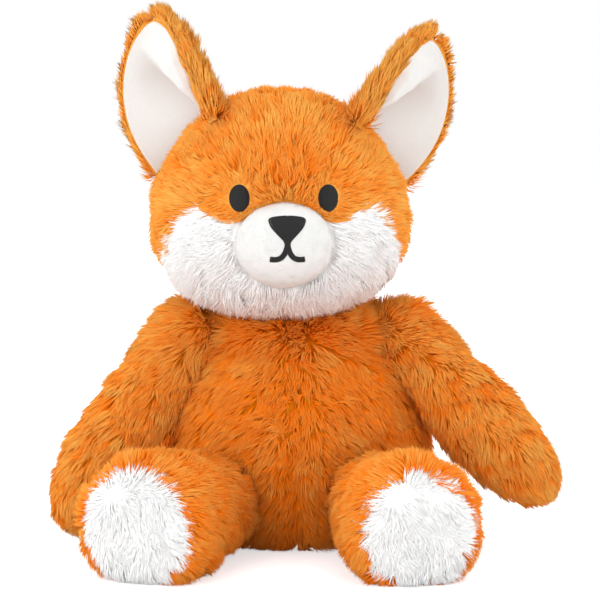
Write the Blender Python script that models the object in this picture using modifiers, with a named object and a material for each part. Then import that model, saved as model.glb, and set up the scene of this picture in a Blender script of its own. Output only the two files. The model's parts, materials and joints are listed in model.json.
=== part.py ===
"""A seated plush fox, sewn from fur fabric panels over loose fibre stuffing.

Metres, +Z up. The fox looks along -Y, its own left is +X, and the origin is the middle of the flat
seat that it sits on. Every soft form is a unit sphere whose rows are stretched by sizes and shares.
A cover is that form as a thin shell, split into panels at its seams. The stuffing is the same form,
set in by the fabric. A limb has a round root that is seated in a hollow of what carries it, and is
cut clear of it through the whole range of its joint.
"""

import math

import bmesh
import bpy
from mathutils import Matrix, Vector
from mathutils.bvhtree import BVHTree

MM = 0.001

# Fabric and sewing
FABRIC = 2.4 * MM          # backing with the dense foot of the pile
LINING = 1.6 * MM          # the short plush inside an ear and on the muzzle
GAP = 0.3 * MM             # between two pieces that lie on each other
FILL_GAP = 0.7 * MM        # between a cover and the stuffing inside it
LINING_GAP = 0.7 * MM      # between an ear's back and its lining, whose flats don't line up
STITCHES = 1.1 * MM        # the height of an embroidered patch
OVERRUN = 400 * MM         # how far a cutting block runs past the toy

# Torso
TORSO_WIDTH = 139 * MM
TORSO_DEPTH = 114 * MM
TORSO_HEIGHT = 157 * MM    # of the whole form, before the floor and the neck cut it
TORSO_SINK = 16 * MM       # how far the form would reach below the floor
TORSO_WIDTH_SHARES = (1.26, 1.02, 0.98, 0.84)
TORSO_DEPTH_SHARES = (1.16, 1.08, 0.98, 0.86)
BELLY_SHARES = (-0.02, -0.09, -0.02, 0.05)
SIDE_SEAM_Y = -2 * MM
SEAT_RISE = 4 * MM         # height of the seam round the seat panel
NECK_Z = 122 * MM          # height of the neck seam
NECK_RADIUS = 27 * MM
NECK_RISE = 17 * MM
NECK_SHARES = ((1.0, 0.0), (1.0, 0.35), (0.93, 0.66), (0.72, 0.88), (0.4, 0.98), (0.0, 1.0))
POUCH_WIDTH = 86 * MM
POUCH_DEPTH = 66 * MM
POUCH_HEIGHT = 22 * MM
POUCH_FLAT_SHARE = 0.6     # of the pouch's lower half, left after it has settled on the seat

# Head
HEAD_WIDTH = 131 * MM
HEAD_DEPTH = 122 * MM
HEAD_HEIGHT = 124 * MM
HEAD_RISE = 63.5 * MM      # from the neck seam up to the middle of the head
HEAD_FORWARD = 14 * MM     # how far the middle of the head lies before the neck
HEAD_ASIDE = -10 * MM
HEAD_TURN = math.radians(2.6)
HEAD_WIDTH_SHARES = (1.22, 1.10, 0.96, 0.94)
HEAD_DEPTH_SHARES = (1.10, 1.00, 1.00, 0.98)
HEAD_SEAM_Y = 8 * MM
CHEEK_SHARES = ((-0.1, -0.05), (0.20, -0.05), (0.41, -0.12), (0.52, -0.05), (0.62, 0.0), (0.73, -0.06),
                (0.85, -0.22), (0.93, -0.42), (0.97, -0.62), (0.97, -1.2), (-0.1, -1.2))

# Muzzle, nose, mouth and eyes
MUZZLE_WIDTH = 54 * MM
MUZZLE_HEIGHT = 49 * MM
MUZZLE_DEPTH = 46 * MM
MUZZLE_DROP = 18 * MM
MUZZLE_FORWARD = 57 * MM   # from the middle of the head to the middle of the muzzle
NOSE_WIDTH = 18.5 * MM     # of the nose, and of the mouth below it
NOSE_HEIGHT = 23 * MM      # from the top of the nose to the foot of the mouth, in one embroidery
NOSE_RISE = 15.5 * MM       # the top of the nose above the middle of the muzzle
NOSE_ASIDE = 1 * MM
NOSE_SHARES = ((-0.25, -0.03), (-0.45, -0.07), (-0.5, -0.14), (-0.43, -0.26), (-0.24, -0.42),
               (-0.10, -0.53), (-0.06, -0.62), (-0.07, -0.78), (-0.12, -0.87), (-0.21, -0.91),
               (-0.5, -0.91), (-0.5, -1.0), (-0.21, -1.0), (-0.12, -0.97), (-0.05, -0.91))
NOSE_FORK_SHARE = 0.84     # how far down the mouth parts
EYE_WIDTH = 10.2 * MM
EYE_HEIGHT = 13.8 * MM
EYE_SPACING = 46.4 * MM
EYE_RISE = 6 * MM
EYE_SIDES = 20

# Ears
EAR_LENGTH = 67 * MM
EAR_WIDTH = 74 * MM
EAR_BACK = 6 * MM
EAR_ROOT = 34 * MM         # how far the ear's sheet runs down before the head cuts it
EAR_LEAN = 7 * MM
EAR_ASIDE = {"left": 47 * MM, "right": 44 * MM}
EAR_RISE = {"left": 33 * MM, "right": 37 * MM}
EAR_BEHIND = 4 * MM
EAR_TILT = {"left": 39, "right": 27}
EAR_YAW = {"left": 46, "right": 46}
EAR_CUP_SHARES = (1.30, 1.10, 0.85, 0.65)   # half the angle that a row of the ear bends through
EAR_WIDTH_SHARES = (0.72, 0.95, 1.12, 1.0)
EAR_BLUNT_SHARES = (2.1, 0.52)
EAR_END_SHARE = 0.995      # where the leaf ends, just short of closing to a point
LINING_SHARE = 0.94
EAR_BEND_RANGE = {"forward": 12, "back": 12}

# Arms
ARM_REACH = 120 * MM       # from the shoulder to the end of the paw
ARM_ROOT = 17 * MM
ARM_WIDTH = 50 * MM
ARM_WIDTH_SHARES = (0.70, 0.80, 1.12, 1.30)
ARM_BLUNT = 2.3
ARM_FLAT_SHARES = (1.0, 0.96, 0.88, 0.86)
SHOULDER_X = 57 * MM
SHOULDER_Y = -9 * MM
SHOULDER_Z = 112 * MM
ARM_SPREAD = {"left": 44, "right": 34}      # from hanging straight down, outwards
ARM_FORWARD = {"left": 25, "right": 8}
ARM_RANGE = {"left": (-12, 45), "right": (-3, 55)}

# Legs
LEG_REACH = 106 * MM       # from the hip to the sole
LEG_ROOT = 22 * MM
FOOT_WIDTH = 75 * MM
LEG_WIDTH_SHARES = (0.612, 0.70, 0.98, 1.04)
LEG_BLUNT = 5.5
HIP_Z = 29 * MM
HIP_X = 40 * MM
HIP_SINK = 6 * MM          # how deep the hip lies behind the surface of the belly
FOOT_RISE = -0.5           # degrees by which the leg climbs towards the foot
LEG_SPREAD = {"left": 12, "right": 24}
LEG_RANGE = (0, 30)
SOLE_DEPTH = 5 * MM        # how far the white sole panel wraps round the end of the foot

# Tail
TAIL_REACH = 92 * MM
TAIL_ROOT = 13 * MM
TAIL_WIDTH = 50 * MM
TAIL_WIDTH_SHARES = (0.52, 0.80, 1.50, 0.92)
TAIL_BLUNT = 1.9
TAIL_Z = 25 * MM
TAIL_SINK = 5 * MM
TAIL_CLIMB = 2             # degrees
TAIL_CURL = 26 * MM
TAIL_TIP_SHARE = 0.66
TAIL_RANGE = 25

# Mesh density
BODY_SIDES, BODY_ROWS = 24, 14
LIMB_SIDES, LIMB_ROWS = 16, 12
COARSER = 2                # the stuffing keeps every second side and row of its cover
EAR_COLUMNS, EAR_ROWS = 8, 10

ORANGE = (0.72, 0.26, 0.03, 1)
DEEP_ORANGE = (0.60, 0.19, 0.02, 1)
WHITE = (0.88, 0.88, 0.87, 1)
WARM_WHITE = (0.84, 0.82, 0.79, 1)
BLACK = (0.012, 0.013, 0.012, 1)
FIBRE = (0.80, 0.80, 0.78, 1)
PELLET = (0.55, 0.57, 0.60, 1)

SIDES = {"left": 1, "right": -1}


def clear_scene():
    for obj in list(bpy.data.objects):
        bpy.data.objects.remove(obj, do_unlink=True)


def collection(name):
    made = bpy.data.collections.new(name)
    bpy.context.scene.collection.children.link(made)
    return made


def material(name, colour, roughness):
    made = bpy.data.materials.new(name)
    made.use_nodes = True
    shader = made.node_tree.nodes["Principled BSDF"]
    shader.inputs["Base Color"].default_value = colour
    shader.inputs["Roughness"].default_value = roughness
    return made


def swell(shares, at):
    """A smooth curve that leaves the first share at 0, is drawn to those between, and ends at the last."""
    last = len(shares) - 1
    return sum(
        math.comb(last, i) * at**i * (1 - at) ** (last - i) * share
        for i, share in enumerate(shares)
    )


# Forms


def sphere_form(sides, rows, shape):
    """A unit sphere with each point u moved to shape(u), as a mesh."""
    bm = bmesh.new()
    bmesh.ops.create_uvsphere(bm, u_segments=sides, v_segments=rows, radius=1)
    for vertex in bm.verts:
        vertex.co = shape(vertex.co.copy())
    bmesh.ops.recalc_face_normals(bm, faces=bm.faces)
    mesh = bpy.data.meshes.new("form")
    bm.to_mesh(mesh)
    bm.free()
    return mesh


def coarse_form(shape):
    """The form that stuffing is made from, at half the density of the covers."""
    body = shape in (torso_shape, head_shape)
    sides, rows = (BODY_SIDES, BODY_ROWS) if body else (LIMB_SIDES, LIMB_ROWS)
    return sphere_form(sides // COARSER, rows // COARSER, shape)


def torso_shape(unit):
    at = (unit.z + 1) / 2
    height = TORSO_HEIGHT * at - TORSO_SINK
    return Vector((
        unit.x * TORSO_WIDTH / 2 * swell(TORSO_WIDTH_SHARES, at),
        unit.y * TORSO_DEPTH / 2 * swell(TORSO_DEPTH_SHARES, at) + TORSO_DEPTH * swell(BELLY_SHARES, at),
        max(height, 0),
    ))


def head_shape(unit):
    """In the head's frame, whose origin is on the neck seam."""
    at = (unit.z + 1) / 2
    return Vector((
        unit.x * HEAD_WIDTH / 2 * swell(HEAD_WIDTH_SHARES, at),
        unit.y * HEAD_DEPTH / 2 * swell(HEAD_DEPTH_SHARES, at) - HEAD_FORWARD,
        unit.z * HEAD_HEIGHT / 2 + HEAD_RISE,
    ))


def muzzle_middle():
    return Vector((0, -HEAD_FORWARD - MUZZLE_FORWARD, HEAD_RISE - MUZZLE_DROP))


def muzzle_shape(unit):
    half = Vector((MUZZLE_WIDTH, MUZZLE_DEPTH, MUZZLE_HEIGHT)) / 2
    return muzzle_middle() + unit * half


def limb_shape(unit, root, reach, width, shares, blunt, flat_shares=(1, 1), bend=0):
    """A limb along +Z: a ball of the root radius below its pivot, swelling and rounding off above."""
    if unit.z <= 0:
        return unit * root
    along = min(unit.z, 1)
    flare = math.sqrt(max(1 - along * along, 0)) or 1
    radius = width / 2 * swell(shares, along) * (1 - along**blunt) ** (1 / blunt)
    return Vector((
        unit.x / flare * radius,
        unit.y / flare * radius * swell(flat_shares, along) + bend * along * along,
        along * reach,
    ))


def arm_shape(unit):
    return limb_shape(unit, ARM_ROOT, ARM_REACH, ARM_WIDTH, ARM_WIDTH_SHARES, ARM_BLUNT, ARM_FLAT_SHARES)


def leg_shape(unit):
    return limb_shape(unit, LEG_ROOT, LEG_REACH, FOOT_WIDTH, LEG_WIDTH_SHARES, LEG_BLUNT)


def tail_shape(unit):
    return limb_shape(
        unit, TAIL_ROOT, TAIL_REACH, TAIL_WIDTH, TAIL_WIDTH_SHARES, TAIL_BLUNT, bend=TAIL_CURL
    )


def ear_half_width(up, share):
    """Half the width of an ear's leaf along its curve, up its length from root to tip."""
    low = -EAR_ROOT / EAR_LENGTH
    power, rounding = EAR_BLUNT_SHARES
    taper = (1 - min(max(up, 0) / share, EAR_END_SHARE) ** power) ** rounding
    along = (up - low) / (share - low)
    return EAR_WIDTH / 2 * share * taper * swell(EAR_WIDTH_SHARES, along)


def ear_sheet(share, forward):
    """The cupped leaf of an ear, as a sheet that opens along -Y. share trims it all round, and forward
    moves it into its own hollow, so that a lining follows the back behind it."""
    low = -EAR_ROOT / EAR_LENGTH
    bm = bmesh.new()
    bmesh.ops.create_grid(bm, x_segments=EAR_COLUMNS, y_segments=EAR_ROWS, size=1)
    for vertex in bm.verts:
        up = low + (share - low) * (vertex.co.y + 1) / 2
        cup = swell(EAR_CUP_SHARES, (up - low) / (1 - low))
        radius = ear_half_width(up, 1) / cup
        turn = vertex.co.x * ear_half_width(up, share) / radius
        lean = EAR_LEAN * max(up, 0) ** 2
        vertex.co = Vector((
            radius * math.sin(turn), lean - radius * (1 - math.cos(turn)), EAR_LENGTH * up
        ))
    bmesh.ops.recalc_face_normals(bm, faces=bm.faces)
    if sum(face.normal.y * face.calc_area() for face in bm.faces) < 0:
        bmesh.ops.reverse_faces(bm, faces=bm.faces)
    bm.normal_update()
    moved = [vertex.co - vertex.normal * forward for vertex in bm.verts]
    for vertex, place in zip(bm.verts, moved):
        vertex.co = place
    mesh = bpy.data.meshes.new("sheet")
    bm.to_mesh(mesh)
    bm.free()
    return mesh


def offset_form(mesh, distance):
    """A copy of a closed form with its surface moved out by distance, or in where that is negative."""
    bm = bmesh.new()
    bm.from_mesh(mesh)
    bm.normal_update()
    moved = [v.co + v.normal * distance * v.calc_shell_factor() for v in bm.verts]
    for vertex, place in zip(bm.verts, moved):
        vertex.co = place
    made = bpy.data.meshes.new("offset")
    bm.to_mesh(made)
    bm.free()
    return made


def pressed_flat(mesh, matrix):
    """The form with what would lie below the floor pressed up to it. matrix is its place in the world."""
    back = matrix.inverted()
    for vertex in mesh.vertices:
        place = matrix @ vertex.co
        if place.z < 0:
            place.z = 0
            vertex.co = back @ place
    return mesh


# Objects


def frame_empty(name, place, parent=None):
    """An empty on a joint's pivot. Its own axes are those of the body that hangs on it."""
    empty = bpy.data.objects.new(name, None)
    bpy.context.scene.collection.objects.link(empty)
    empty.parent = parent
    empty.matrix_local = place
    bpy.context.view_layer.update()
    return empty


def add_object(name, mesh, frame, group, finish=None):
    obj = bpy.data.objects.new(name, mesh)
    group.objects.link(obj)
    obj.parent = frame
    if finish:
        mesh.materials.clear()
        mesh.materials.append(finish)
    else:
        obj.hide_render = True
        obj.display_type = "WIRE"
    return obj


def boolean(obj, cutter, operation="DIFFERENCE"):
    modifier = obj.modifiers.new(f"{operation.lower()}_{cutter.name}", "BOOLEAN")
    modifier.object = cutter
    modifier.operation = operation


def block(name, low, high, frame):
    """A box between two corners, given in its frame, to keep or to cut with."""
    bm = bmesh.new()
    bmesh.ops.create_cube(bm, size=1)
    middle, size = (low + high) / 2, high - low
    bmesh.ops.transform(bm, matrix=Matrix.Translation(middle) @ Matrix.Diagonal((*size, 1)), verts=bm.verts)
    mesh = bpy.data.meshes.new(name)
    bm.to_mesh(mesh)
    bm.free()
    return add_object(name, mesh, frame, CUTTERS)


def half_space(name, frame, **limits):
    """A block bounded only where limits says, such as x_low=0, and running past the toy elsewhere."""
    low = Vector([limits.get(f"{axis}_low", -OVERRUN) for axis in "xyz"])
    high = Vector([limits.get(f"{axis}_high", OVERRUN) for axis in "xyz"])
    return block(name, low, high, frame)


def socket(name, root, centre):
    """A ball that cuts a seat for a limb's round root. None of its flat faces come nearer than the gap."""
    flats = math.cos(math.pi / LIMB_SIDES) * math.cos(math.pi / 2 / LIMB_ROWS)
    return ball(name, (root + GAP) / flats, centre, None)


def ball(name, radius, centre, frame):
    bm = bmesh.new()
    bmesh.ops.create_uvsphere(bm, u_segments=LIMB_SIDES, v_segments=LIMB_ROWS, radius=radius)
    bmesh.ops.translate(bm, verts=bm.verts, vec=centre)
    mesh = bpy.data.meshes.new(name)
    bm.to_mesh(mesh)
    bm.free()
    return add_object(name, mesh, frame, CUTTERS)


def cover_panel(name, form, frame, finish, keep, cuts=(), thickness=FABRIC):
    """One sewn panel: the form as a shell, kept inside the block keep and cut by each of cuts."""
    panel = add_object(name, form.copy(), frame, FOX, finish)
    shell = panel.modifiers.new("fabric", "SOLIDIFY")
    shell.thickness = thickness
    shell.offset = -1
    shell.use_even_offset = True
    boolean(panel, keep, "INTERSECT")
    for cutter in cuts:
        boolean(panel, cutter)
    return panel


def filling(name, form, frame, cuts=(), fabric=FABRIC):
    """The stuffing inside a cover: the form, set in by the fabric and a gap."""
    core = add_object(name, offset_form(form, -(fabric + FILL_GAP)), frame, FOX, FINISH["fibre"])
    for cutter in cuts:
        boolean(core, cutter)
    return core


def surface_point(mesh, start, direction):
    """Where a ray meets a form, in the form's frame, and which way the surface faces there."""
    bm = bmesh.new()
    bm.from_mesh(mesh)
    point, normal, _, _ = BVHTree.FromBMesh(bm).ray_cast(start, direction)
    bm.free()
    return point, normal


def host_cutter(name, host, into_limb, frame, axis, angles, root):
    """What a limb is cut clear of: its host, a gap larger, turned about the joint's axis to where it
    stands, as the limb sees it, at each of the joint's angles, and hollowed for the limb's round root."""
    hosts = []
    for count, angle in enumerate(angles):
        turned = add_object(f"{name}_host_{count}", offset_form(host, GAP), frame, CUTTERS)
        turned.matrix_local = Matrix.Rotation(math.radians(-angle), 4, axis) @ into_limb
        hosts.append(turned)
    for other in hosts[1:]:
        boolean(hosts[0], other, "UNION")
    if root:
        boolean(hosts[0], ball(f"{name}_hollow", root + GAP / 2, Vector(), frame))
    return hosts[0]


# Sub-assemblies


def build_torso(form, sockets):
    """Two front panels, two back panels, the seat panel, the stuffing and the pouch of pellets."""
    for side, sign in SIDES.items():
        inner = {"x_low": GAP / 2} if sign > 0 else {"x_high": -GAP / 2}
        heights = {"z_low": SEAT_RISE + GAP / 2, "z_high": NECK_Z}
        front = half_space(f"keep_front_{side}", None, y_high=SIDE_SEAM_Y - GAP / 2, **inner, **heights)
        back = half_space(f"keep_back_{side}", None, y_low=SIDE_SEAM_Y + GAP / 2, **inner, **heights)
        shoulder, hip = sockets[f"arm_{side}"], sockets[f"leg_{side}"]
        cover_panel(f"torso_front_{side}", form, None, FINISH["orange"], front, (shoulder, hip))
        cover_panel(f"torso_back_{side}", form, None, FINISH["deep"], back, (shoulder, sockets["tail"]))
    seat = half_space("keep_seat", None, z_high=SEAT_RISE - GAP / 2)
    cover_panel("seat_panel", form, None, FINISH["deep"], seat)

    pouch = sphere_form(LIMB_SIDES, LIMB_ROWS // COARSER, pouch_shape)
    add_object("pellet_pouch", pouch, None, FOX, FINISH["pellet"])
    recess = add_object("pouch_recess", offset_form(pouch, GAP), None, CUTTERS)
    neck = half_space("above_neck", None, z_low=NECK_Z - GAP)
    coarse = coarse_form(torso_shape)
    filling("torso_stuffing", coarse, None, (neck, recess, *sockets.values()))
    build_neck()


def pouch_shape(unit):
    """A flattened bag that lies on the seat panel."""
    rise = max((unit.z + POUCH_FLAT_SHARE) / (1 + POUCH_FLAT_SHARE), 0) * POUCH_HEIGHT
    return Vector((unit.x * POUCH_WIDTH / 2, unit.y * POUCH_DEPTH / 2, FABRIC + GAP + rise))


def neck_profile(name, grown, group, finish=None):
    """The round plug of stuffing that fills the neck, turned about the upright axis of the head's joint.
    Grown, it is the hollow for the plug, and starts below the neck seam."""
    radius, rise = NECK_RADIUS + grown, NECK_RISE + grown
    foot = [Vector((0, 0, -SEAT_RISE)), Vector((radius, 0, -SEAT_RISE))] if grown else [Vector()]
    outline = [*foot, *(Vector((radius * out, 0, rise * up)) for out, up in NECK_SHARES)]
    bm = bmesh.new()
    points = [bm.verts.new(place) for place in reversed(outline)]
    for one, other in zip(points, points[1:]):
        bm.edges.new((one, other))
    mesh = bpy.data.meshes.new(name)
    bm.to_mesh(mesh)
    bm.free()
    plug = add_object(name, mesh, NECK, group, finish)
    turned = plug.modifiers.new("turned", "SCREW")
    turned.steps = turned.render_steps = BODY_SIDES
    turned.use_merge_vertices = True
    turned.merge_threshold = GAP / 10
    return plug


def build_neck():
    neck_profile("neck_stuffing", 0, FOX, FINISH["fibre"])


def build_head(form, muzzle):
    hollow = neck_profile("neck_hollow", GAP, CUTTERS)
    for side, sign in SIDES.items():
        inner = {"x_low": GAP / 2} if sign > 0 else {"x_high": -GAP / 2}
        front = half_space(f"keep_face_{side}", HEAD, y_high=HEAD_SEAM_Y - GAP / 2, **inner)
        outside = cheek_prism(f"cheek_edge_{side}", sign, GAP / 2)
        inside = cheek_prism(f"cheek_keep_{side}", sign, -GAP / 2)
        cover_panel(f"forehead_{side}", form, HEAD, FINISH["orange"], front, (outside, hollow))
        cheek = cover_panel(f"cheek_{side}", form, HEAD, FINISH["white"], front, (hollow,))
        boolean(cheek, inside, "INTERSECT")
    back = half_space("keep_head_back", HEAD, y_low=HEAD_SEAM_Y + GAP / 2)
    cover_panel("head_back", form, HEAD, FINISH["deep"], back, (hollow,))
    coarse = coarse_form(head_shape)
    filling("head_stuffing", coarse, HEAD, (hollow,))
    build_muzzle(form, muzzle)
    build_eyes(form)


def cheek_prism(name, sign, wider):
    """A prism along Y whose edge is the seam of a white cheek, moved out by wider."""
    middle = Vector((0, 0, HEAD_RISE))
    outline = [Vector((x * HEAD_WIDTH / 2, 0, z * HEAD_HEIGHT / 2)) for x, z in CHEEK_SHARES]
    moved = []
    for before, place, after in zip([outline[-1], *outline], outline, [*outline[1:], outline[0]]):
        way = (after - before).normalized()
        moved.append(place + Vector((-way.z, 0, way.x)) * wider)
    ends = (-OVERRUN, HEAD_SEAM_Y + GAP)
    bm = bmesh.new()
    rings = [
        [bm.verts.new(middle + Vector((sign * place.x, end, place.z))) for place in moved]
        for end in ends
    ]
    count = len(moved)
    for i in range(count):
        j = (i + 1) % count
        bm.faces.new((rings[0][i], rings[0][j], rings[1][j], rings[1][i]))
    bm.faces.new(rings[0])
    bm.faces.new(rings[1])
    bmesh.ops.recalc_face_normals(bm, faces=bm.faces)
    mesh = bpy.data.meshes.new(name)
    bm.to_mesh(mesh)
    bm.free()
    return add_object(name, mesh, HEAD, CUTTERS)


def build_muzzle(form, muzzle):
    """The domed muzzle on the face, with its stuffing and the embroidered nose and mouth."""
    face = add_object("face_surface", offset_form(form, GAP), HEAD, CUTTERS)
    front = half_space("keep_muzzle", HEAD, y_high=0)
    cover_panel("muzzle_cover", muzzle, HEAD, FINISH["warm"], front, (face,), thickness=LINING)
    filling("muzzle_stuffing", muzzle, HEAD, (face,), fabric=LINING)
    over = add_object("muzzle_stitch_top", offset_form(muzzle, GAP + STITCHES), HEAD, CUTTERS)
    under = add_object("muzzle_stitch_foot", offset_form(muzzle, GAP), HEAD, CUTTERS)
    middle = muzzle_middle()

    top = middle + Vector((NOSE_ASIDE, 0, NOSE_RISE))
    left = [Vector((NOSE_WIDTH * x, 0, NOSE_HEIGHT * z)) for x, z in NOSE_SHARES]
    right = [Vector((-place.x, 0, place.z)) for place in reversed(left)]
    fork = Vector((0, 0, -NOSE_HEIGHT * NOSE_FORK_SHARE))
    outline = [Vector(), *left, fork, *right]
    patch("nose_and_mouth", [top + place for place in outline], over, under)


def patch(name, outline, over, under):
    """An embroidered patch: its outline, cast forwards on to the surface that lies before it."""
    curve = bpy.data.curves.new(name, "CURVE")
    curve.dimensions = "2D"
    curve.fill_mode = "BOTH"
    curve.extrude = OVERRUN / 2
    line = curve.splines.new("POLY")
    line.points.add(len(outline) - 1)
    middle = sum(outline, Vector()) / len(outline)
    for point, place in zip(line.points, outline):
        point.co = (place.x - middle.x, place.z - middle.z, 0, 1)
    line.use_cyclic_u = True
    flat = bpy.data.objects.new(name, curve)
    bpy.context.scene.collection.objects.link(flat)
    bpy.context.view_layer.update()
    mesh = bpy.data.meshes.new_from_object(flat.evaluated_get(bpy.context.evaluated_depsgraph_get()))
    bpy.data.objects.remove(flat)
    bm = bmesh.new()
    bm.from_mesh(mesh)
    bmesh.ops.remove_doubles(bm, verts=bm.verts, dist=GAP / 10)
    upright = Matrix.Translation(middle - Vector((0, OVERRUN / 2, 0)))
    bmesh.ops.transform(bm, matrix=upright @ Matrix.Rotation(math.radians(90), 4, "X"), verts=bm.verts)
    bmesh.ops.recalc_face_normals(bm, faces=bm.faces)
    bm.to_mesh(mesh)
    bm.free()
    made = add_object(name, mesh, HEAD, FOX, FINISH["black"])
    boolean(made, over, "INTERSECT")
    boolean(made, under)
    return made


def build_eyes(form):
    over = add_object("eye_stitch_top", offset_form(form, GAP + STITCHES), HEAD, CUTTERS)
    under = add_object("eye_stitch_foot", offset_form(form, GAP), HEAD, CUTTERS)
    for side, sign in SIDES.items():
        middle = Vector((sign * EYE_SPACING / 2, -HEAD_FORWARD, HEAD_RISE + EYE_RISE))
        turns = [2 * math.pi * step / EYE_SIDES for step in range(EYE_SIDES)]
        outline = [
            middle + Vector((math.cos(turn) * EYE_WIDTH / 2, 0, math.sin(turn) * EYE_HEIGHT / 2))
            for turn in turns
        ]
        patch(f"eye_{side}", outline, over, under)


def build_ear(side, form):
    """An ear's furry back and its smooth lining, bending about the line on which it is sewn."""
    frame = frame_empty(f"ear_frame_{side}", ear_place(side), HEAD)
    sheets = (
        (f"ear_back_{side}", 1, 0, EAR_BACK, FINISH["orange"]),
        (f"ear_lining_{side}", LINING_SHARE, LINING + LINING_GAP, LINING, FINISH["warm"]),
    )
    angles = (-EAR_BEND_RANGE["back"], 0, EAR_BEND_RANGE["forward"])
    axis = Vector((1, 0, 0))
    cutter = host_cutter(f"ear_{side}", form, frame.matrix_local.inverted(), frame, axis, angles, 0)
    for name, share, forward, thickness, finish in sheets:
        leaf = add_object(name, ear_sheet(share, forward), frame, FOX, finish)
        solid = leaf.modifiers.new("fabric", "SOLIDIFY")
        solid.thickness = thickness
        solid.offset = 1
        solid.use_even_offset = True
        boolean(leaf, cutter)


def ear_place(side):
    """An ear's frame in the head's: +Z up it, -Y out of its opening, X along the line it bends about."""
    sign = SIDES[side]
    at = Vector((sign * EAR_ASIDE[side], EAR_BEHIND - HEAD_FORWARD, HEAD_RISE + EAR_RISE[side]))
    tilt = Matrix.Rotation(math.radians(sign * EAR_TILT[side]), 4, "Y")
    yaw = Matrix.Rotation(math.radians(sign * EAR_YAW[side]), 4, "Z")
    return Matrix.Translation(at) @ tilt @ yaw


def limb_place(pivot, along, across):
    """A limb's frame: its origin on the pivot, +Z along it, and X as near to across as it can be."""
    along = along.normalized()
    across = (across - along * across.dot(along)).normalized()
    turn = Matrix((across, along.cross(across), along)).transposed().to_4x4()
    return Matrix.Translation(pivot) @ turn


def arm_place(side):
    sign = SIDES[side]
    spread, forward = math.radians(ARM_SPREAD[side]), math.radians(ARM_FORWARD[side])
    along = Vector((sign * math.sin(spread), -math.sin(forward), -math.cos(spread)))
    pivot = Vector((sign * SHOULDER_X, SHOULDER_Y, SHOULDER_Z))
    return limb_place(pivot, along, Vector((sign, 0, 0)))


def leg_place(side, torso):
    sign = SIDES[side]
    before = Vector((sign * HIP_X, -OVERRUN, HIP_Z))
    point, _ = surface_point(torso, before, Vector((0, 1, 0)))
    pivot = point + Vector((0, HIP_SINK, 0))
    spread, rise = math.radians(LEG_SPREAD[side]), math.radians(FOOT_RISE)
    along = Vector((sign * math.sin(spread), -math.cos(spread), math.tan(rise)))
    return limb_place(pivot, along, Vector((1, 0, 0)))


def tail_place(torso):
    point, _ = surface_point(torso, Vector((0, OVERRUN, TAIL_Z)), Vector((0, -1, 0)))
    pivot = point + Vector((0, TAIL_ROOT - TAIL_SINK, 0))
    climb = math.radians(TAIL_CLIMB)
    return limb_place(pivot, Vector((0, math.cos(climb), math.sin(climb))), Vector((-1, 0, 0)))


def build_arm(side, torso, place):
    """An arm's front and back panels and its stuffing. The joint's axis runs from back to front."""
    frame = frame_empty(f"shoulder_{side}", place)
    low, high = ARM_RANGE[side]
    axis = place.to_3x3().inverted() @ Vector((0, -SIDES[side], 0))
    angles = sorted({low, 0, high / 4})
    cutters = [host_cutter(f"arm_{side}", torso, place.inverted(), frame, axis, angles, ARM_ROOT)]
    form = sphere_form(LIMB_SIDES, LIMB_ROWS, arm_shape)
    front_is_high = (place.to_3x3().inverted() @ Vector((0, -1, 0))).y > 0
    halves = {"y_low": GAP / 2}, {"y_high": -GAP / 2}
    front, back = halves if front_is_high else reversed(halves)
    for half, limits, finish in (("front", front, "orange"), ("back", back, "deep")):
        keep = half_space(f"keep_arm_{half}_{side}", frame, **limits)
        cover_panel(f"arm_{half}_{side}", form, frame, FINISH[finish], keep, cutters)
    coarse = coarse_form(arm_shape)
    filling(f"arm_stuffing_{side}", coarse, frame, cutters)


def build_leg(side, torso, place):
    """A leg's top and bottom panels, its white sole and its stuffing."""
    frame = frame_empty(f"hip_{side}", place)
    low, high = LEG_RANGE
    axis = Vector((-1, 0, 0)) if (place.to_3x3() @ Vector((1, 0, 0))).x > 0 else Vector((1, 0, 0))
    angles = [low + (high - low) * step / 3 for step in range(4)]
    cutters = [host_cutter(f"leg_{side}", torso, place.inverted(), frame, axis, angles, LEG_ROOT)]
    form = pressed_flat(sphere_form(LIMB_SIDES, LIMB_ROWS, leg_shape), place)
    top_is_high = (place.to_3x3().inverted() @ Vector((0, 0, 1))).y > 0
    halves = {"y_low": GAP / 2}, {"y_high": -GAP / 2}
    top, bottom = halves if top_is_high else reversed(halves)
    seam = LEG_REACH - SOLE_DEPTH
    for half, limits, finish in (("top", top, "orange"), ("bottom", bottom, "deep")):
        keep = half_space(f"keep_leg_{half}_{side}", frame, z_high=seam - GAP / 2, **limits)
        cover_panel(f"leg_{half}_{side}", form, frame, FINISH[finish], keep, cutters)
    keep = half_space(f"keep_sole_{side}", frame, z_low=seam + GAP / 2)
    cover_panel(f"sole_{side}", form, frame, FINISH["white"], keep)
    coarse = pressed_flat(coarse_form(leg_shape), place)
    filling(f"leg_stuffing_{side}", coarse, frame, cutters)


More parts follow.
